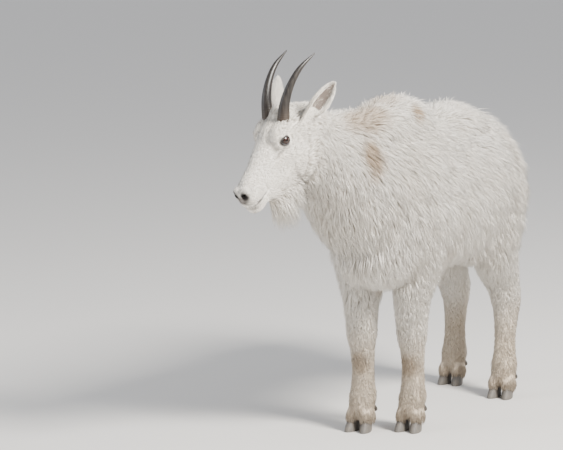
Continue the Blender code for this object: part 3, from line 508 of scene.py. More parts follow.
face = bpy.data.objects.new("face", skin.data.copy())
bpy.context.scene.collection.objects.link(face)
boolean(face, beyond_head(-0.045), "INTERSECT")
lids = [ball(on_head(EYE_AT[0], EYE_AT[1] * s, EYE_AT[2]), (EYE_RADIUS + LID_THICKNESS,) * 3, WORLD, 36)
        for s in (1, -1)]
face_shells = mesh_of("face_shells", [head_rings(), *paired(HEAD_SWELLINGS, HEAD_FRAME, HEAD_AT), *lids])
boolean(face, face_shells, "UNION")
melt(face, HEAD_VOXEL, 5)
local = off_head(points_of(face.data))
outward = normals_of(face.data) @ HEAD_FRAME.T
behind = 1 - ramp(past_head(points_of(face.data)), -0.040, -0.012)
local = pressed(local, FACE_MOVES, outward) - outward * (0.003 * behind)[:, None]
set_points(face.data, HEAD_AT + local @ HEAD_FRAME)
for side in (1, -1):
    socket = ball(on_head(EYE_AT[0], EYE_AT[1] * side, EYE_AT[2]), (EYE_RADIUS + 0.0003,) * 3, WORLD, 48)
    boolean(face, mesh_of("socket", socket), "DIFFERENCE")
    boolean(face, eye_cut(side), "DIFFERENCE")
    boolean(face, nostril_cut(side), "DIFFERENCE")
boolean(face, mouth_cut(), "DIFFERENCE")
boolean(skin, beyond_head(-0.020), "DIFFERENCE")
boolean(skin, face, "UNION")

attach(skin, "root")
flesh = ["head", "neck", "torso", "tail"]
flesh += [f"leg_{leg}_{part}" for leg in FEET for part in ("upper", "lower")]
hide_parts(*flesh)

# The colours of her coat.
# Cream-white hair, tan along the withers and behind the shoulder where she rolls in dust, yellowed and
# darkened with painted shade under the belly, throat and tail and between the forelegs, and dirty from the
# knees down. Skin and coat take their colour from the same soft blots.
CREAM = "F4F0E9"
CREAM_SHADE = "DDD5C8"
# Painted shade at the roots of the tufts, with a warmer tone
ROOT_SHADE_AND_TINT = "D6CCBC"
TAN = "A68A69"
UNDERSIDE_STAIN_AND_SHADE = "B79A76"
# Yellowed hair, darkened further as painted shade on the underside
DUST = "B5A083"
MUD = "82694C"
SNOUT = "5E5450"
LIP_DARK = "1B1514"
# Black nostril skin, with painted shade in the nostril pits
NOSTRIL_SKIN_AND_PIT_SHADE = "070505"
# Blots: middle x, y, z, radii, colour, strength, on the body's own directions
BODY_BLOTS = (
    ((0.010, -0.480, 0.880), (0.085, 0.140, 0.052), TAN, 0.62),
    ((0.000, -0.330, 0.925), (0.060, 0.130, 0.045), TAN, 0.40),
    ((0.070, -0.258, 0.882), (0.036, 0.052, 0.050), TAN, 0.90),
    ((0.050, -0.530, 0.775), (0.055, 0.055, 0.085), TAN, 0.80),
    ((-0.180, -0.480, 0.780), (0.060, 0.045, 0.075), TAN, 0.50),
    # Yellowed hair and painted shade: under the belly, behind the left elbow, between the forelegs, under the tail and
    # under the throat
    ((0.000, -0.020, 0.440), (0.130, 0.260, 0.060), UNDERSIDE_STAIN_AND_SHADE, 0.60),
    ((0.115, -0.210, 0.500), (0.060, 0.070, 0.060), UNDERSIDE_STAIN_AND_SHADE, 0.40),
    ((0.000, -0.300, 0.430), (0.060, 0.080, 0.070), UNDERSIDE_STAIN_AND_SHADE, 0.55),
    ((0.000, 0.440, 0.620), (0.060, 0.060, 0.100), UNDERSIDE_STAIN_AND_SHADE, 0.35),
    ((-0.070, -0.570, 0.700), (0.060, 0.060, 0.120), UNDERSIDE_STAIN_AND_SHADE, 0.34),
)
# Blots of the face: along, left, up, radii, colour, strength, kept on both sides
FACE_BLOTS = (
    ((0.290, 0.019, 0.007), (0.022, 0.020, 0.019), LIP_DARK, 0.97),
    ((0.292, 0.000, -0.006), (0.022, 0.026, 0.018), SNOUT, 0.80),
    ((0.262, 0.022, -0.030), (0.040, 0.026, 0.0052), LIP_DARK, 0.92),
    ((0.275, 0.016, -0.038), (0.026, 0.022, 0.012), SNOUT, 0.38),
    ((0.142, 0.048, 0.004), (0.020, 0.016, 0.0055), SNOUT, 0.55),
    ((0.150, 0.044, -0.004), (0.024, 0.016, 0.014), CREAM_SHADE, 0.55),
    ((0.270, 0.000, -0.060), (0.034, 0.024, 0.014), DUST, 0.40),
    # Painted shade in the nostril pit, over its black skin
    ((0.2800, 0.0165, 0.008), (0.022, 0.015, 0.018), NOSTRIL_SKIN_AND_PIT_SHADE, 1.00),
)
EYE_RIM = ((1.62, 1.75), LIP_DARK)


def linear(hex_text):
    """An sRGB hex colour as the linear values a shader takes: c / 12.92 below 0.04045, and
    ((c + 0.055) / 1.055) ** 2.4 above it."""
    values = [int(hex_text[k:k + 2], 16) / 255 for k in (0, 2, 4)]
    return (*[c / 12.92 if c <= 0.04045 else ((c + 0.055) / 1.055) ** 2.4 for c in values], 1.0)


def node(tree, kind, inputs=None, **settings):
    """Adds a node with its settings, and gives each input a value or the socket that feeds it."""
    made = tree.nodes.new(kind)
    for name, value in settings.items():
        setattr(made, name, value)
    for name, value in (inputs or {}).items():
        if isinstance(value, bpy.types.NodeSocket):
            tree.links.new(value, made.inputs[name])
        else:
            made.inputs[name].default_value = value
    return made


def finish(name):
    """A new material, its tree and its shader."""
    made = bpy.data.materials.new(name)
    made.use_nodes = True
    return made, made.node_tree, made.node_tree.nodes["Principled BSDF"]


def blot(tree, place, middle, radii, turn=(0.0, 0.0, 0.0), soft=0.35):
    """A share that is 1 inside an ellipsoid and falls smoothly to 0 at its edge."""
    near = node(tree, "ShaderNodeMapping", {"Vector": place, "Location": tuple(middle), "Rotation": tuple(turn),
                                            "Scale": tuple(radii)}, vector_type="TEXTURE")
    away = node(tree, "ShaderNodeVectorMath", {0: near.outputs["Vector"]}, operation="LENGTH")
    return node(tree, "ShaderNodeMapRange", {"Value": away.outputs["Value"], "From Min": soft, "From Max": 1.0,
                                             "To Min": 1.0, "To Max": 0.0}, interpolation_type="SMOOTHSTEP").outputs[0]


def tinted(tree, base, colour, share, strength):
    """The base colour drawn towards another by a share times a strength."""
    amount = node(tree, "ShaderNodeMath", {0: share, 1: strength}, operation="MULTIPLY").outputs[0]
    mixed = node(tree, "ShaderNodeMix", {"Factor": amount}, data_type="RGBA")
    tree.links.new(base, mixed.inputs[6])
    mixed.inputs[7].default_value = linear(colour)
    return mixed.outputs[2]


def markings(tree):
    """The coat's colour at each place, for skin and tufts alike."""
    place = node(tree, "ShaderNodeTexCoord").outputs["Object"]
    drift = node(tree, "ShaderNodeTexNoise", {"Vector": place, "Scale": 22.0, "Detail": 3.0})
    centred = node(tree, "ShaderNodeVectorMath", {0: drift.outputs["Color"], 1: (0.5, 0.5, 0.5)}, operation="SUBTRACT")
    moved = node(tree, "ShaderNodeVectorMath", {0: centred.outputs[0], 1: (0.045, 0.045, 0.045), 2: place},
                 operation="MULTIPLY_ADD").outputs[0]
    broad = node(tree, "ShaderNodeTexNoise", {"Vector": place, "Scale": 7.0, "Detail": 2.0}).outputs["Fac"]
    base = node(tree, "ShaderNodeMix", {"Factor": broad}, data_type="RGBA")
    base.inputs[6].default_value = linear(CREAM)
    base.inputs[7].default_value = linear(CREAM_SHADE)
    colour = base.outputs[2]
    for middle, radii, tint, strength in BODY_BLOTS:
        share = blot(tree, moved, np.array(middle) + SHIFT, radii)
        colour = tinted(tree, colour, tint, share, strength)
    height = node(tree, "ShaderNodeSeparateXYZ", {"Vector": moved}).outputs["Z"]
    for low, high, tint, strength in ((0.16, 0.33, DUST, 0.62), (0.015, 0.13, MUD, 0.42)):
        share = node(tree, "ShaderNodeMapRange", {"Value": height, "From Min": low, "From Max": high, "To Min": 1.0,
                                                  "To Max": 0.0}, interpolation_type="SMOOTHSTEP").outputs[0]
        colour = tinted(tree, colour, tint, share, strength)
    for leg in ("front_left", "front_right"):
        knee = (FEET[leg][0], FEET[leg][1] - 0.02, 0.185)
        colour = tinted(tree, colour, MUD, blot(tree, moved, np.array(knee) + SHIFT, (0.05, 0.05, 0.045)), 0.55)
    for leg in ("hind_left", "hind_right"):
        hock = (FEET[leg][0], FEET[leg][1] + 0.07, 0.235)
        colour = tinted(tree, colour, MUD, blot(tree, moved, np.array(hock) + SHIFT, (0.05, 0.05, 0.085)), 0.5)
    turn = Matrix(HEAD_FRAME.T.tolist()).to_euler()
    for (along, left, up), radii, tint, strength in FACE_BLOTS:
        for side in (1, -1) if left else (1,):
            share = blot(tree, place, on_head(along, left * side, up) + SHIFT, radii, turn)
            colour = tinted(tree, colour, tint, share, strength)
    for side in (1, -1):
        axes = eye_axes(side)
        axes[2] = np.cross(axes[0], axes[1])
        turn_eye = Matrix(axes.T.tolist()).to_euler()
        middle = on_head(EYE_AT[0], EYE_AT[1] * side, EYE_AT[2]) + HEAD_LEFT * side * 0.012 + SHIFT
        radii = (EYE_OPENING[0] * EYE_RIM[0][0], EYE_OPENING[1] * EYE_RIM[0][1], 0.014)
        share = blot(tree, place, middle, radii, turn_eye, 0.70)
        colour = tinted(tree, colour, EYE_RIM[1], share, 0.95)
    return colour


# Short face hair lies flat on the skin, so a fine bump stands in for what no tuft shows. Real hairs are
# about 0.05 mm thick, and these strands are drawn as coarse as 1 mm to show at all.
skin_finish, tree, shader = finish("hide_under_short_hair")
tree.links.new(markings(tree), shader.inputs["Base Color"])
shader.inputs["Roughness"].default_value = 0.80
shader.inputs["Specular IOR Level"].default_value = 0.25
place = node(tree, "ShaderNodeTexCoord").outputs["Object"]
strands = node(tree, "ShaderNodeTexNoise", {"Vector": place, "Scale": 420.0, "Detail": 3.0}).outputs["Fac"]
bump = node(tree, "ShaderNodeBump", {"Height": strands, "Strength": 0.35, "Distance": 0.0012})
tree.links.new(bump.outputs["Normal"], shader.inputs["Normal"])
skin.data.materials.clear()
skin.data.materials.append(skin_finish)
skin.data.shade_smooth()

# The coat.
# Cream-white hair: plush on the trunk, long and shaggy on the rump, belly and thighs, close on the face
# and shins. Each tuft is a thin tapered spike with its root in the wool, which rises and then lies over.
COAT_SEED = 7
# Coat depth by height above the floor, which thins it down the legs
DEPTH_BY_HEIGHT = ((0.00, 0.05, 0.10, 0.18, 0.24, 0.30, 0.36, 0.46, 0.54),
                   (0.0055, 0.0065, 0.0100, 0.0085, 0.0095, 0.0130, 0.0180, 0.030, 0.045))
# Coat depth by distance ahead of the head's seam, which thins it up the neck
DEPTH_BY_HEAD = ((-0.34, -0.12, -0.03, 0.02, 0.06), (0.045, 0.028, 0.017, 0.011, 0.008))
# Coat depth along the face, from the poll to the lips
DEPTH_BY_FACE = ((-0.02, 0.05, 0.10, 0.20, 0.26, 0.29), (0.0100, 0.0085, 0.0060, 0.0052, 0.0040, 0.0026))
# Longer and shorter hair of the body: left, y, z, three radii, extra depth, on both sides
BODY_TUFTS = (
    ((0.000, -0.440, 0.590), (0.100, 0.070, 0.100), 0.014),
    ((0.100, 0.420, 0.470), (0.090, 0.080, 0.080), -0.014),
    ((0.000, 0.485, 0.670), (0.050, 0.050, 0.090), -0.024),
)
# Longer hair of the head: along, left, up, three radii, extra depth. The first one is the beard.
HEAD_TUFTS = (
    ((0.188, 0.000, -0.090), (0.068, 0.032, 0.030), 0.018),
    ((0.205, 0.000, -0.080), (0.030, 0.022, 0.016), 0.012),
    ((0.030, 0.000, 0.016), (0.034, 0.036, 0.024), 0.020),
    ((0.060, 0.052, -0.085), (0.040, 0.018, 0.030), 0.006),
)
# Share of the depth that the under-wool fills, of tufts that stand out of the lie, and extra length
# of the beard
WOOL = 0.40
STRAY_SHARE = 0.07
BEARD_LENGTH = 0.046
# Length of hair by its depth, as a multiple of it, half width of a tuft, and layers that cover a place
REACH_BY_DEPTH = ((0.003, 0.010, 0.045), (2.6, 2.0, 1.50))
WIDTH_BY_DEPTH = ((0.003, 0.010, 0.020, 0.045), (0.00050, 0.00076, 0.00086, 0.00100))
LAYERS_BY_DEPTH = ((0.003, 0.010, 0.020, 0.045), (1.7, 2.0, 2.8, 3.6))
LONG_HAIR = 0.016
MOST_TRIANGLES = 195000
CLUMP_OF = 16


def waves(points, size, seed, count=3):
    """Smooth random shares from -1 to 1: each is the mean of sines over set directions, size apart."""
    random = np.random.default_rng(seed)
    total = np.zeros((len(points), count))
    for _ in range(6):
        way = random.normal(size=(3, count))
        way = way / np.linalg.norm(way, axis=0) * (2 * math.pi / size) * random.uniform(0.6, 1.6, count)
        total += np.sin(points @ way + random.uniform(0, 2 * math.pi, count))
    return total / 3


def near(points, place, radii):
    """1 at a place, and exp(-d^2) at a distance of d radii."""
    return np.exp(-(((points - np.array(place)) / np.array(radii)) ** 2).sum(axis=1))


def coat_depth(points):
    """How far the coat's surface stands from the skin: the least of three curves, by height above the
    floor, by distance from the head's seam, and along the face."""
    by_height = np.interp(points[:, 2], *DEPTH_BY_HEIGHT)
    ahead = past_head(points)
    by_head = np.interp(ahead, *DEPTH_BY_HEAD)
    local = off_head(points)
    by_face = np.where(ahead > 0.02, np.interp(local[:, 0], *DEPTH_BY_FACE), 1.0)
    depth = np.minimum(np.minimum(by_height, by_head), by_face)
    folded = np.abs(local * np.array((0, 1, 0))) + local * np.array((1, 0, 1))
    for place, radii, extra in HEAD_TUFTS:
        depth = depth + extra * near(folded, place, radii)
    folded = np.abs(points * np.array((1, 0, 0))) + points * np.array((0, 1, 1))
    for place, radii, extra in BODY_TUFTS:
        depth = depth + extra * near(folded, place, radii)
    return depth


def lie(points, normals):
    """The way the hair runs along the skin. On the body it runs back and down, less back on the rump and
    legs. On the head it runs from the nose to the poll, and down the cheeks. Between the two it turns."""
    high = np.maximum(normals[:, 2], 0)
    back = 0.35 + 0.75 * high + 0.50 * np.maximum(-normals[:, 2], 0)
    back *= np.clip((0.36 - points[:, 1]) / 0.16, 0.05, 1) * np.clip((points[:, 2] - 0.36) / 0.10, 0.10, 1)
    body = np.stack((0.25 * np.sign(points[:, 0]) * high, back, -1 + 0.5 * high), axis=1)
    toe = (1 - ramp(points[:, 2], 0.04, 0.09))[:, None]
    body = body + toe * np.array((0.0, -0.25, 0.0))
    local, facing = off_head(points), normals @ HEAD_FRAME.T
    side = np.abs(facing[:, 1])
    under = np.maximum(-facing[:, 2], 0)
    head = np.stack((-1.0 + 0.3 * under, 0.30 * np.sign(local[:, 1]) * (facing[:, 2] > 0.3),
                     -0.55 * side - 0.3 * under), axis=1)
    from_eye = local * np.array((1, 0, 1)) - np.array((EYE_AT[0], 0, EYE_AT[2]))
    near_eye = np.exp(-(from_eye**2).sum(axis=1) / 0.022**2)[:, None]
    head = head + from_eye / 0.020 * near_eye * 0.9
    head = head @ HEAD_FRAME
    share = ramp(past_head(points), -0.050, 0.020)[:, None]
    way = body * (1 - share) + head * share
    way = way + 0.24 * waves(points, 0.070, 3) + 0.24 * waves(points, 0.018, 4)
    way = way - normals * (way * normals).sum(axis=1, keepdims=True)
    return unit(way)


def bare(points):
    """Where no tuft grows: inside the eye openings, the nostrils and the mouth."""
    none = np.zeros(len(points), bool)
    for side in (1, -1):
        out = (points - on_head(EYE_AT[0], EYE_AT[1] * side, EYE_AT[2])) @ eye_axes(side).T
        outer = np.abs(out[:, 2]) < 0.03
        none |= outer & (((out[:, :2] / (np.array(EYE_OPENING) * 1.30)) ** 2).sum(axis=1) < 1)
        away = off_head(points) - np.array((NOSTRIL[0] + 0.006, NOSTRIL[1] * side, NOSTRIL[2]))
        none |= ((away / np.array((0.0130, 0.0105, 0.0125))) ** 2).sum(axis=1) < 1
    local = off_head(points)
    lip = np.interp(local[:, 0], *np.array(MOUTH_LINE[::-1]).T)
    none |= (local[:, 0] > 0.226) & (np.abs(local[:, 2] - lip) < 0.0030)
    return none


def triangles_of(obj):
    """A mesh's triangles as corner points, their mean normals and their areas."""
    mesh = obj.data
    mesh.calc_loop_triangles()
    index = np.empty(len(mesh.loop_triangles) * 3, np.int32)
    mesh.loop_triangles.foreach_get("vertices", index)
    corners = points_of(mesh)[index.reshape(-1, 3)]
    facing = normals_of(mesh)[index.reshape(-1, 3)]
    area = np.linalg.norm(np.cross(corners[:, 1] - corners[:, 0], corners[:, 2] - corners[:, 0]), axis=1) / 2
    return corners, facing, area


def roots_on(obj, per_area, random):
    """Random places on a mesh, as many for each area as the density asks, with their normals."""
    corners, facing, area = triangles_of(obj)
    wanted = per_area(corners.mean(axis=1)) * area
    pick = np.repeat(np.arange(len(area)), random.poisson(wanted))
    share = random.dirichlet((1, 1, 1), len(pick))[:, :, None]
    return (corners[pick] * share).sum(axis=1), unit((facing[pick] * share).sum(axis=1))


def tufts(roots, normals, ways, length, height, half_width, random, rings=3, sag=0.0, clump=None):
    """Tapered spikes of three sides. Each middle line runs along its way by length times t and rises by
    height times 1 - (1 - t)^1.8. It sags by sag times length times t^2. Clump draws the tips together
    by each one's share times t^2. Returns points of shape tufts, rings * 3 + 1, 3."""
    t = np.linspace(0, 1, rings + 1)[:, None]
    run = np.sqrt(np.maximum(length**2 - height**2, (0.3 * length) ** 2))
    sunk = 0.0012 + 0.10 * height
    rise = (height + sunk)[:, None, None] * (1 - (1 - t) ** 1.8) - sunk[:, None, None]
    side = np.cross(normals, ways)
    bend = random.normal(0, 0.10, len(roots))[:, None, None] * length[:, None, None] * t**2
    middle = roots[:, None] + ways[:, None] * run[:, None, None] * t + normals[:, None] * rise + side[:, None] * bend
    middle[..., 2] -= sag * length[:, None] * t[:, 0] ** 2
    if clump is not None:
        first = random.permutation(len(roots))[::CLUMP_OF]
        leads = middle[first, -1]
        tree = KDTree(len(first))
        for k, root in enumerate(roots[first]):
            tree.insert(root, k)
        tree.balance()
        lead = np.array([tree.find(root)[1] for root in roots])
        pull = leads[lead] - middle[:, -1]
        close = np.minimum(1.0, 0.5 * length / np.maximum(np.linalg.norm(pull, axis=1), 1e-6))
        middle += (clump * close)[:, None, None] * t**2 * pull[:, None]
    middle[..., 2] = np.maximum(middle[..., 2], 0.0015)
    turn = random.uniform(0, 2 * math.pi, len(roots))[:, None] + np.arange(3) * (2 * math.pi / 3)
    width = half_width[:, None] * np.array([0.8, 1.0, 0.72, 0.4])[:rings] * np.ones(rings)
    round_ = np.cos(turn)[..., None] * side[:, None] + 0.6 * np.sin(turn)[..., None] * normals[:, None]
    points = middle[:, :rings, None] + width[..., None, None] * round_[:, None]
    return np.concatenate([points.reshape(len(roots), rings * 3, 3), middle[:, -1:]], axis=1)


def tuft_faces(rings):
    """The triangles of one spike: two for each side between rings, one for each side at the tip, and one
    that closes the root."""
    faces = [(0, 2, 1)]
    for row in range(rings - 1):
        for k in range(3):
            a, b = row * 3 + k, row * 3 + (k + 1) % 3
            faces += [(a, b, b + 3), (a, b + 3, a + 3)]
    last = (rings - 1) * 3
    faces += [(last + k, last + (k + 1) % 3, rings * 3) for k in range(3)]
    return np.array(faces)


def unwrapped(points, axis, toward):
    """The skin laid flat: the turn round an axis line gives u, and the way along the piece gives v."""
    middle = points.mean(axis=0)
    along = unit(np.array(axis, float))
    front = unit(np.array(toward, float) - along * np.dot(toward, along))
    side = np.cross(along, front)
    away = points - middle
    v = away @ along
    v = (v - v.min()) / max(np.ptp(v), 1e-6)
    u = 0.5 + np.arctan2(away @ side, away @ front) / (2 * math.pi)
    return 0.01 + 0.98 * np.stack((u, v), axis=1)


PATCH = 0.0015


def coat_piece(name, spikes, roots, rings, material, axis, toward, random):
    """One joined mesh of spikes, with each tuft's patch on the OFBake map at its root's place on the
    unwrapped skin, its height along the spike as 'tip', and a random lightness as 'shade'."""
    count, size = spikes.shape[:2]
    faces = (tuft_faces(rings)[None] + (np.arange(count) * size)[:, None, None]).reshape(-1, 3)
    mesh = bpy.data.meshes.new(name)
    mesh.vertices.add(count * size)
    mesh.vertices.foreach_set("co", (spikes + SHIFT).astype(np.float32).ravel())
    mesh.loops.add(faces.size)
    mesh.loops.foreach_set("vertex_index", faces.astype(np.int32).ravel())
    mesh.polygons.add(len(faces))
    mesh.polygons.foreach_set("loop_start", np.arange(0, faces.size, 3, dtype=np.int32))
    mesh.polygons.foreach_set("loop_total", np.full(len(faces), 3, np.int32))
    mesh.update(calc_edges=True)
    mesh.validate()
    along = np.append(np.repeat(np.arange(rings) / rings, 3), 1.0)
    tip = mesh.attributes.new("tip", "FLOAT", "POINT")
    tip.data.foreach_set("value", np.tile(along, count).astype(np.float32))
    shade = mesh.attributes.new("shade", "FLOAT", "POINT")
    shade.data.foreach_set("value", np.repeat(random.uniform(0, 1, count), size).astype(np.float32))
    angle = np.append(np.tile(np.arange(3) * (2 * math.pi / 3), rings), 0.0)
    wide = np.append(np.repeat(1 - np.arange(rings) / rings, 3), 0.0)
    corner = np.stack((np.cos(angle) * wide, 2 * along - 1), axis=1) * PATCH
    flat = unwrapped(roots, axis, toward)[:, None] + corner
    layer = mesh.uv_layers.new(name="OFBake")
    layer.data.foreach_set("uv", flat.reshape(-1, 2)[faces.ravel()].astype(np.float32).ravel())
    mesh.materials.append(material)
    mesh.shade_smooth()
    made = bpy.data.objects.new(name, mesh)
    bpy.context.scene.collection.objects.link(made)
    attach(made, "root")
    return made


# Hair is clear keratin, white from the air in it, so it scatters softly with a faint silky gloss. Each
# tuft is dimmer and warmer at its root: a warmer tone, and painted shade where the coat closes over the
# roots. No two are quite as light.
hair_finish, tree, shader = finish("cream_white_hair")
shown = markings(tree)
tip = node(tree, "ShaderNodeAttribute", attribute_name="tip").outputs["Fac"]
shade = node(tree, "ShaderNodeAttribute", attribute_name="shade").outputs["Fac"]
# Painted shade: each tuft is darker and warmer towards its root
deep = node(tree, "ShaderNodeMapRange", {"Value": tip, "From Min": 0.0, "From Max": 0.55, "To Min": 0.55, "To Max": 0.0},
            interpolation_type="SMOOTHSTEP").outputs[0]
rooted = node(tree, "ShaderNodeMix", {"Factor": deep}, data_type="RGBA", blend_type="MULTIPLY")
tree.links.new(shown, rooted.inputs[6])
rooted.inputs[7].default_value = linear(ROOT_SHADE_AND_TINT)
light = node(tree, "ShaderNodeMapRange", {"Value": shade, "To Min": 0.90, "To Max": 1.04}).outputs[0]
lit = node(tree, "ShaderNodeVectorMath", {0: rooted.outputs[2]}, operation="SCALE")
tree.links.new(light, lit.inputs["Scale"])
tree.links.new(lit.outputs[0], shader.inputs["Base Color"])
shader.inputs["Roughness"].default_value = 0.62
shader.inputs["Specular IOR Level"].default_value = 0.30
shader.inputs["Sheen Weight"].default_value = 0.12
shader.inputs["Sheen Roughness"].default_value = 0.45

random = np.random.default_rng(COAT_SEED)


def tufts_per_area(points):
    """Layers of hair over each place, divided by the area that one tuft covers."""
    depth = coat_depth(points)
    cover = 1.2 * np.interp(depth, *WIDTH_BY_DEPTH) * depth * np.interp(depth, *REACH_BY_DEPTH)
    return np.interp(depth, *LAYERS_BY_DEPTH) / cover * (1 + 3 * near(off_head(points), *HEAD_TUFTS[0][:2]))


bare_skin = points_of(skin.data)
set_points(skin.data, bare_skin + normals_of(skin.data) * (WOOL * coat_depth(bare_skin) * ~bare(bare_skin))[:, None])
roots, normals = roots_on(skin, tufts_per_area, random)
under_foot = (roots[:, 2] < 0.045) & (normals[:, 2] < -0.3)
keep = ~bare(roots) & ~under_foot
roots, normals = roots[keep], normals[keep]
depth = coat_depth(roots)
ways = lie(roots, normals)
crest = ramp(normals[:, 2], 0.55, 0.95) * (1 - ramp(roots[:, 1], 0.10, 0.30))
shaggy = np.maximum(ramp(roots[:, 1], 0.28, 0.42), 1 - ramp(normals[:, 2], -0.5, 0.0)) * ramp(depth, 0.014, 0.030)
length = depth * np.interp(depth, *REACH_BY_DEPTH) * (1 - 0.25 * crest) * random.uniform(0.85, 1.15, len(roots))
height = depth * (random.uniform(0.80, 1.05, len(roots)) * (1 + shaggy * random.uniform(-0.10, 0.22, len(roots))) - WOOL)
fringe = 1 - ramp(roots[:, 2], 0.05, 0.09)
length *= (1 + 0.25 * shaggy) * (1 + 0.6 * fringe)
height *= 1 - 0.4 * fringe
stray = (random.uniform(size=len(roots)) < STRAY_SHARE) * ramp(depth, 0.012, 0.030)
height *= 1 + stray * random.uniform(0.1, 0.6, len(roots))
half_width = np.interp(depth, *WIDTH_BY_DEPTH) * random.uniform(0.8, 1.2, len(roots))
beard = ramp(near(off_head(roots), *HEAD_TUFTS[0][:2]), 0.15, 0.60)
length += BEARD_LENGTH * beard * random.uniform(0.55, 1.15, len(roots))
hang = unit(-UP - 0.45 * HEAD_AHEAD) + 0.12 * random.normal(size=roots.shape)
ways = unit(ways * (1 - beard)[:, None] + hang * beard[:, None])
ways = unit(ways - UP * (0.8 * fringe)[:, None])
normals = unit(normals - ways * (ways * normals).sum(axis=1, keepdims=True))
clump = 0.10 + 0.28 * np.maximum(shaggy, beard)

ahead = past_head(roots)
leg_of = np.array(list(FEET))[np.argmin([np.hypot(roots[:, 0] - x, roots[:, 1] - y - 0.02) for x, y in FEET.values()], axis=0)]
place = np.where(roots[:, 0] > 0, "left", "right")
on_face = np.where(off_head(roots)[:, 1] > 0, "left", "right")
region = np.char.add("body_", place)
region = np.where(roots[:, 2] < 0.44, np.char.add("leg_", leg_of), region)
region = np.where(ahead > -0.20, "neck", region)
region = np.where(ahead > -0.01, np.char.add("head_", on_face), region)
AXES = {"head": (HEAD_ALONG, HEAD_UP), "neck": (HEAD_AHEAD, UP), "body": (WORLD[1], UP), "leg_": (UP, -WORLD[1])}
for name in np.unique(region):
    for kind, rings in (("long", 2), ("short", 2)):
        mine = (region == name) & ((depth > LONG_HAIR) == (kind == "long"))
        if mine.sum() < 50:
            continue
        order = np.nonzero(mine)[0]
        order = order[np.argsort(roots[order] @ AXES[name[:4]][0])]
        most = MOST_TRIANGLES // len(tuft_faces(rings))
        for part, chosen in enumerate(np.array_split(order, math.ceil(len(order) / most))):
            spikes = tufts(roots[chosen], normals[chosen], ways[chosen], length[chosen], height[chosen],
                           half_width[chosen], random, rings, 0.06 if kind == "long" else 0.0, clump[chosen])
            coat_piece(f"coat_{name}_{kind}_{part + 1}", spikes, roots[chosen], rings, hair_finish,
                       *AXES[name[:4]], random)

# The ears.
# Each is a thin furred leaf rolled into a cup, white outside and on its rim, grey-brown and nearly bare
# inside, that grey-brown darkened with painted shade of the hollow, and with longer pale hair that crosses
# the cup's mouth.
EAR_AT = (0.030, 0.052, 0.000)
EAR_TIP = (-0.078, 0.112, 0.032)
EAR_HALF_WIDTH = 0.0235
# Ear stations: share of its length, of its half width, wall and cup depth in half widths, bend forward
EAR = (
    (-0.16, 0.36, 0.80, 0.02, 0.00),
    (0.00, 0.46, 0.80, 0.02, 0.00),
    (0.14, 0.62, 0.60, 0.10, -0.01),
    (0.28, 0.86, 0.22, 0.42, -0.02),
    (0.48, 1.00, 0.14, 0.56, -0.03),
    (0.70, 0.86, 0.15, 0.50, -0.02),
    (0.88, 0.50, 0.22, 0.34, 0.00),
    (1.00, 0.14, 0.50, 0.10, 0.02),
)
# Grey-brown skin of the cup, darkened as painted shade of its hollow
EAR_CUP_SKIN_AND_SHADE = "5E5149"
EAR_CUP_PALE_SKIN_AND_SHADE = "8C8077"
EAR_ROWS = 56
EAR_STEPS = 20


def ear_ways(side):
    """An ear's root, its length, and its own directions: to its tip, across it, and out of its cup."""
    root, tip = (on_head(a, left * side, up) for a, left, up in (EAR_AT, EAR_TIP))
    way = unit(tip - root)
    mouth = HEAD_LEFT * side * 0.86 + HEAD_ALONG * 0.42 + UP * 0.10
    mouth = unit(mouth - way * mouth.dot(way))
    return root, np.linalg.norm(tip - root), way, unit(np.cross(way, mouth)), mouth


def ear_rings(side):
    """Crescent rings: a half circle of sine and cosine for the back, and a shallower one for the cup."""
    root, length, way, across, mouth = ear_ways(side)
    t, width, thick, cup, bend = smooth_rows(EAR, EAR_ROWS).T[:, :, None]
    half = EAR_HALF_WIDTH * width
    turn = np.linspace(-math.pi / 2, math.pi / 2, EAR_STEPS)
    back = -np.cos(turn) * (thick + cup) * half
    front = -np.cos(turn[::-1]) * cup * half + 0.0006
    x = np.concatenate([np.sin(turn) * half, np.sin(turn[::-1]) * half * 0.90], axis=1)
    y = np.concatenate([back, front], axis=1) + cup * half
    middles = root + way * (length * t) + mouth * (bend * length)
    return middles[:, None] + x[..., None] * across + y[..., None] * mouth


ear_finish, tree, shader = finish("ear_hide_and_cup")
inside = node(tree, "ShaderNodeAttribute", attribute_name="inside").outputs["Fac"]
place = node(tree, "ShaderNodeTexCoord").outputs["Object"]
veins = node(tree, "ShaderNodeTexNoise", {"Vector": place, "Scale": 90.0, "Detail": 4.0}).outputs["Fac"]
# Painted shade of the hollow over the cup's grey-brown skin
cup_skin_and_shade = node(tree, "ShaderNodeMix", {"Factor": veins}, data_type="RGBA")
cup_skin_and_shade.inputs[6].default_value = linear(EAR_CUP_SKIN_AND_SHADE)
cup_skin_and_shade.inputs[7].default_value = linear(EAR_CUP_PALE_SKIN_AND_SHADE)
both = node(tree, "ShaderNodeMix", {"Factor": inside}, data_type="RGBA")
both.inputs[6].default_value = linear(CREAM)
tree.links.new(cup_skin_and_shade.outputs[2], both.inputs[7])
tree.links.new(both.outputs[2], shader.inputs["Base Color"])
shader.inputs["Roughness"].default_value = 0.75
bump = node(tree, "ShaderNodeBump", {"Height": veins, "Strength": 0.25, "Distance": 0.001})
tree.links.new(bump.outputs["Normal"], shader.inputs["Normal"])

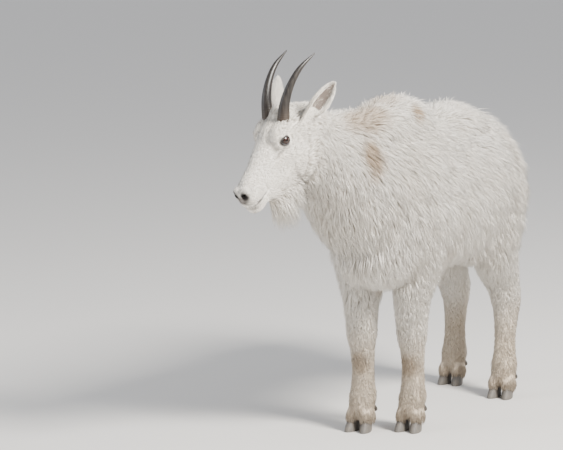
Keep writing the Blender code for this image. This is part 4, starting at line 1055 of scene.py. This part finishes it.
for side, label in ((1, "left"), (-1, "right")):
    rings = ear_rings(side)
    ear = mesh_of(f"ear_{label}_cup", rings)
    share = np.zeros(len(ear.data.vertices))
    grid = share[:EAR_ROWS * 2 * EAR_STEPS].reshape(EAR_ROWS, 2 * EAR_STEPS)
    grid[6:, EAR_STEPS + 2:-2] = 1.0
    ear.data.attributes.new("inside", "FLOAT", "POINT").data.foreach_set("value", share.astype(np.float32))
    ear.data.materials.append(ear_finish)
    ear.data.shade_smooth()
    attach(ear, "root")
    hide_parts(f"ear_{label}")
    roots, normals = roots_on(ear, lambda points: np.full(len(points), 1.0e6), random)
    root, reach, way, across, mouth = ear_ways(side)
    along = (roots - root) @ way / reach
    out = normals @ mouth
    edge = np.abs((roots - root) @ across) / (EAR_HALF_WIDTH * np.interp(along, *np.array(EAR).T[:2]))
    keep = (along > -0.10) & ((out < 0.15) | (edge > 0.80) | (along < 0.30) | (random.uniform(size=len(roots)) < 0.03))
    roots, normals, along, edge, out = (values[keep] for values in (roots, normals, along, edge, out))
    ways = way + 0.18 * random.normal(size=roots.shape)
    ways = unit(ways - normals * (ways * normals).sum(axis=1, keepdims=True))
    length = 0.0085 * random.uniform(0.8, 1.2, len(roots)) * (1 + 0.5 * (edge > 0.8)) * np.where(along > 0.85, 0.6, 1)
    spikes = tufts(roots, normals, ways, length, 0.0022 * (1 + 0.6 * (edge > 0.8)) * np.ones(len(roots)),
                   np.full(len(roots), 0.00045), random, 2)
    coat_piece(f"coat_ear_{label}", spikes, roots, 2, hair_finish, way, mouth, random)

# The eyes.
# Wet dark balls behind almond lids: a red-brown iris with a level slot of a pupil, nearly black round it,
# under a clear hard gloss. A thin dark rim of bare skin edges the lids.
IRIS = "2E160B"
IRIS_EDGE = "0E0705"
PUPIL = "040303"
IRIS_RADIUS = 0.0112
PUPIL_HALF = (0.0062, 0.0026)
RIM_THICKNESS = 0.0017

for side, label in ((1, "left"), (-1, "right")):
    middle = on_head(EYE_AT[0], EYE_AT[1] * side, EYE_AT[2])
    axes = eye_axes(side)
    eye = mesh_of(f"eye_{label}_ball", ball(middle, (EYE_RADIUS,) * 3, WORLD, 64))
    local = (points_of(eye.data) - middle) @ axes.T
    front = local[:, 2] > 0
    for name, distance in (("iris", np.hypot(local[:, 0], local[:, 1]) / IRIS_RADIUS),
                           ("pupil", np.hypot(local[:, 0] / PUPIL_HALF[0], local[:, 1] / PUPIL_HALF[1]))):
        values = np.where(front, distance, 9.0).astype(np.float32)
        eye.data.attributes.new(name, "FLOAT", "POINT").data.foreach_set("value", values)
    eye_finish, tree, shader = finish(f"wet_amber_eye_{label}")
    iris = node(tree, "ShaderNodeAttribute", attribute_name="iris").outputs["Fac"]
    pupil = node(tree, "ShaderNodeAttribute", attribute_name="pupil").outputs["Fac"]
    in_iris = node(tree, "ShaderNodeMapRange", {"Value": iris, "From Min": 0.60, "From Max": 1.0}).outputs[0]
    in_pupil = node(tree, "ShaderNodeMapRange", {"Value": pupil, "From Min": 0.85, "From Max": 1.15}).outputs[0]
    ring = node(tree, "ShaderNodeMix", {"Factor": in_iris}, data_type="RGBA")
    ring.inputs[6].default_value = linear(IRIS)
    ring.inputs[7].default_value = linear(IRIS_EDGE)
    whole = node(tree, "ShaderNodeMix", {"Factor": in_pupil}, data_type="RGBA")
    whole.inputs[6].default_value = linear(PUPIL)
    tree.links.new(ring.outputs[2], whole.inputs[7])
    tree.links.new(whole.outputs[2], shader.inputs["Base Color"])
    shader.inputs["Roughness"].default_value = 0.16
    shader.inputs["Specular IOR Level"].default_value = 0.25
    shader.inputs["Coat Weight"].default_value = 0.45
    shader.inputs["Coat Roughness"].default_value = 0.02
    eye.data.materials.append(eye_finish)
    eye.data.shade_smooth()
    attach(eye, "root")
    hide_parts(f"eye_{label}")
    line = almond(1.03, 96)
    out = np.sqrt(np.maximum((EYE_RADIUS + 0.0010) ** 2 - (line**2).sum(axis=1), 0.003**2))
    path = middle + np.column_stack((line, out)) @ axes
    ahead = unit(np.roll(path, -1, axis=0) - np.roll(path, 1, axis=0))
    away = unit(path - middle)
    turn = np.linspace(0, 2 * math.pi, 10, endpoint=False)
    loop = np.cos(turn)[None, :, None] * away[:, None] + np.sin(turn)[None, :, None] * np.cross(ahead, away)[:, None]
    rim = bpy.data.meshes.new(f"lid_rim_{label}")
    grid = np.arange(96 * 10).reshape(96, 10)
    quads = np.stack((grid, np.roll(grid, -1, axis=1), np.roll(np.roll(grid, -1, axis=1), -1, axis=0),
                      np.roll(grid, -1, axis=0)), axis=-1).reshape(-1, 4)
    rim.from_pydata(((path[:, None] + RIM_THICKNESS * loop).reshape(-1, 3) + SHIFT).tolist(), [], quads.tolist())
    rim_object = bpy.data.objects.new(f"lid_rim_{label}", rim)
    bpy.context.scene.collection.objects.link(rim_object)
    rim_finish, tree, shader = finish(f"bare_black_skin_{label}")
    shader.inputs["Base Color"].default_value = linear(LIP_DARK)
    shader.inputs["Roughness"].default_value = 0.38
    rim.materials.append(rim_finish)
    rim.shade_smooth()
    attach(rim_object, "root")

# The horns.
# Black sheaths of horn, ringed near the foot, fine-grained along their length, and worn to a faint grey
# gloss towards the points.
HORN_AT = (0.076, 0.030)
HORN_RADIUS = 0.0160
# Horn stations: back, up and out from the crown, then share of the foot's radius
HORN_PATH = (
    (0.000, 0.000, 0.030, 1.00),
    (-0.003, 0.030, 0.033, 0.98),
    (-0.002, 0.072, 0.039, 0.80),
    (0.012, 0.116, 0.046, 0.60),
    (0.038, 0.156, 0.052, 0.42),
    (0.081, 0.192, 0.058, 0.09),
)
HORN_STATIONS = 420
HORN_STEPS = 40
HORN_RINGS = 34
HORN_BLACK = "1C1815"
HORN_WORN = "4B443D"
HORN_FOOT = "4A3A2C"


def horn_rings(side):
    """Rings up a horn. The radius is swelled by ridges: the sharpened sine of a count that grows along
    the horn, strongest near the foot and gone two thirds of the way up."""
    base = on_head(HORN_AT[0], 0, HORN_AT[1])
    back, up, out, share = smooth_rows(HORN_PATH, HORN_STATIONS).T
    middles = base - HEAD_AHEAD * back[:, None] + UP * up[:, None] + HEAD_LEFT * (out * side)[:, None]
    way = unit(np.gradient(middles, axis=0))
    across = unit(np.cross(way, HEAD_AHEAD))
    fore = unit(np.cross(across, way))
    t = np.linspace(0, 1, HORN_STATIONS)
    ridge = np.abs(np.sin(math.pi * HORN_RINGS * t ** 1.15)) ** 0.7 - 0.6
    ridge = ridge * (1 + 0.5 * np.sin(17 * t) * np.sin(41 * t + 1))
    fade = ramp(t, 0.02, 0.06) * (1 - ramp(t, 0.18, 0.50))
    radius = HORN_RADIUS * share * (1 + 0.030 * ridge * fade)
    return ovals(middles, across, fore, radius * 0.92, radius * 1.06, radius * 1.06, HORN_STEPS, 0.0, 1.0)


horn_finish, tree, shader = finish("black_horn_sheath")
reach = node(tree, "ShaderNodeAttribute", attribute_name="reach").outputs["Fac"]
place = node(tree, "ShaderNodeTexCoord").outputs["Object"]
stretched = node(tree, "ShaderNodeMapping", {"Vector": place, "Scale": (260.0, 260.0, 28.0)}).outputs["Vector"]
grain = node(tree, "ShaderNodeTexNoise", {"Vector": stretched, "Scale": 1.0, "Detail": 4.0}).outputs["Fac"]
worn = node(tree, "ShaderNodeMapRange", {"Value": grain, "From Min": 0.42, "From Max": 0.75, "To Max": 0.55}).outputs[0]
horn_colour = node(tree, "ShaderNodeMix", {"Factor": worn}, data_type="RGBA")
horn_colour.inputs[6].default_value = linear(HORN_BLACK)
horn_colour.inputs[7].default_value = linear(HORN_WORN)
foot = node(tree, "ShaderNodeMapRange", {"Value": reach, "From Max": 0.38, "To Min": 0.8, "To Max": 0.0}).outputs[0]
tree.links.new(tinted(tree, horn_colour.outputs[2], HORN_FOOT, foot, 1.0), shader.inputs["Base Color"])
gloss = node(tree, "ShaderNodeMapRange", {"Value": reach, "To Min": 0.48, "To Max": 0.30}).outputs[0]
tree.links.new(gloss, shader.inputs["Roughness"])
bump = node(tree, "ShaderNodeBump", {"Height": grain, "Strength": 0.30, "Distance": 0.0006})
tree.links.new(bump.outputs["Normal"], shader.inputs["Normal"])
for side, label in ((1, "left"), (-1, "right")):
    horn = mesh_of(f"horn_{label}_sheath", horn_rings(side))
    values = np.append(np.repeat(np.linspace(0, 1, HORN_STATIONS), HORN_STEPS), (0.0, 1.0)).astype(np.float32)
    horn.data.attributes.new("reach", "FLOAT", "POINT").data.foreach_set("value", values)
    horn.data.materials.append(horn_finish)
    horn.data.shade_smooth()
    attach(horn, "root")
    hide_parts(f"horn_{label}")

# The hooves and dewclaws.
# Two blunt toes of grey horn a foot, worn pale at the tip, with fine streaks up them and dust in the
# grain. Two blunt cones of darker horn stand behind each pastern.
# Hoof stations: height, half width, half length, shift back
HOOF = (
    (0.000, 0.0144, 0.0312, -0.016),
    (0.0025, 0.0150, 0.0320, -0.0155),
    (0.012, 0.0150, 0.0305, -0.013),
    (0.026, 0.0140, 0.0270, -0.007),
    (0.040, 0.0120, 0.0225, -0.001),
)
HOOF_GREY = "5C5853"
HOOF_DARK = "211D1A"
HOOF_DUST = "7B6F60"


def hoof_rings(name, side):
    """Rounded ovals up a toe, narrower in front, turned by the splay of the pair."""
    x, y = FEET[name]
    splay = side * TOE_SPLAY
    height, half, length, back = smooth_rows(HOOF, 30).T[:, :, None]
    angle = np.linspace(0, 2 * math.pi, 48, endpoint=False)
    across = np.sign(np.cos(angle)) * np.abs(np.cos(angle)) ** 0.8 * half
    along = np.sign(np.sin(angle)) * np.abs(np.sin(angle)) ** 0.8 * length + back
    across = across * (1 - 0.28 * np.clip(-np.sin(angle), 0, 1) ** 2)
    return np.stack((x + side * TOE_SPREAD + across * math.cos(splay) - along * math.sin(splay),
                     y + across * math.sin(splay) + along * math.cos(splay),
                     np.maximum(height, 0) + 0 * across), axis=-1)


def dewclaw_rings(name, side):
    x, y = FEET[name]
    base = np.array((x + side * 0.019, y + 0.024, 0.070))
    point = unit(np.array((side * 0.18, 0.72, -0.67)))
    up = unit(np.cross(WORLD[0], point))
    along, radius = smooth_rows(((0.0, 0.0105), (0.012, 0.0104), (0.020, 0.0098), (0.026, 0.0078), (0.0285, 0.004)), 20).T
    return ovals(base + point * along[:, None], WORLD[0], up, radius, radius * 0.8, radius * 0.8, 24, 0.0, 1.0)


hoof_finish, tree, shader = finish("worn_grey_hoof_horn")
place = node(tree, "ShaderNodeTexCoord").outputs["Object"]
stretched = node(tree, "ShaderNodeMapping", {"Vector": place, "Scale": (300.0, 300.0, 60.0)}).outputs["Vector"]
streaks = node(tree, "ShaderNodeTexNoise", {"Vector": stretched, "Scale": 1.0, "Detail": 3.0}).outputs["Fac"]
level = node(tree, "ShaderNodeSeparateXYZ", {"Vector": place}).outputs["Z"]
high = node(tree, "ShaderNodeMapRange", {"Value": level, "From Min": 0.012, "From Max": 0.040, "To Max": 0.75}).outputs[0]
horn_shade = node(tree, "ShaderNodeMix", {"Factor": high}, data_type="RGBA")
horn_shade.inputs[6].default_value = linear(HOOF_GREY)
horn_shade.inputs[7].default_value = linear(HOOF_DARK)
dusty = node(tree, "ShaderNodeMapRange", {"Value": streaks, "From Min": 0.45, "From Max": 0.75, "To Max": 0.7}).outputs[0]
hoof_colour = tinted(tree, horn_shade.outputs[2], HOOF_DUST, dusty, 0.8)
tree.links.new(hoof_colour, shader.inputs["Base Color"])
shader.inputs["Roughness"].default_value = 0.60
bump = node(tree, "ShaderNodeBump", {"Height": streaks, "Strength": 0.6, "Distance": 0.0012})
tree.links.new(bump.outputs["Normal"], shader.inputs["Normal"])
for leg in FEET:
    for side, label in ((1, "left_toe"), (-1, "right_toe")):
        for kind, rings in (("hoof", hoof_rings(leg, side)), ("dewclaw", dewclaw_rings(leg, side))):
            toe = mesh_of(f"{kind}_{leg}_{label}_horn", rings)
            toe.data.materials.append(hoof_finish)
            toe.data.shade_smooth()
            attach(toe, "root")
            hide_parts(f"{kind}_{leg}_{label}")

# The room.
# A pale flat floor, broad soft lamps, and the photo's own viewpoint.
VIEW_TURN = math.radians(25)
VIEW_RISE = math.radians(8)
VIEW_DISTANCE = 8.0
VIEW_TARGET = (-0.41814, 0.53442)
LENS = 179.87


def lamp(name, place, target, size, power, colour):
    """A square soft lamp that faces a point."""
    data = bpy.data.lights.new(name, "AREA")
    data.size = size
    data.energy = power
    data.color = colour
    made = bpy.data.objects.new(name, data)
    made.location = place
    way = Vector(target) - Vector(place)
    made.rotation_euler = way.to_track_quat("-Z", "Y").to_euler()
    bpy.context.scene.collection.objects.link(made)


floor_mesh = bpy.data.meshes.new("floor")
floor_mesh.from_pydata([(-60, -60, 0), (60, -60, 0), (60, 60, 0), (-60, 60, 0)], [], [(0, 1, 2, 3)])
floor = bpy.data.objects.new("floor", floor_mesh)
bpy.context.scene.collection.objects.link(floor)
floor_finish, tree, shader = finish("pale_painted_floor")
shader.inputs["Base Color"].default_value = linear("D6D3CE")
shader.inputs["Roughness"].default_value = 0.85
floor_mesh.materials.append(floor_finish)
lamp("key", (4.0, -1.2, 3.9), (0, 0, 0.5), 1.6, 900, (1.0, 0.97, 0.92))
lamp("fill", (-4.0, -3.5, 2.4), (0, 0, 0.5), 3.0, 120, (0.92, 0.96, 1.0))
world = bpy.data.worlds.new("studio")
bpy.context.scene.world = world
world.use_nodes = True
world.node_tree.nodes["Background"].inputs["Color"].default_value = (0.90, 0.93, 1.0, 1)
world.node_tree.nodes["Background"].inputs["Strength"].default_value = 0.85

right = np.array((math.cos(VIEW_TURN), math.sin(VIEW_TURN), 0.0))
back = np.array((math.sin(VIEW_TURN) * math.cos(VIEW_RISE), -math.cos(VIEW_TURN) * math.cos(VIEW_RISE),
                 math.sin(VIEW_RISE)))
camera = bpy.data.objects.new("camera", bpy.data.cameras.new("camera"))
camera.data.sensor_width = 36.0
camera.data.lens = LENS
camera.location = right * VIEW_TARGET[0] + UP * VIEW_TARGET[1] + back * VIEW_DISTANCE + SHIFT
camera.rotation_mode = "QUATERNION"
camera.rotation_quaternion = Vector(-back).to_track_quat("-Z", "Y")
bpy.context.scene.collection.objects.link(camera)
bpy.context.scene.camera = camera
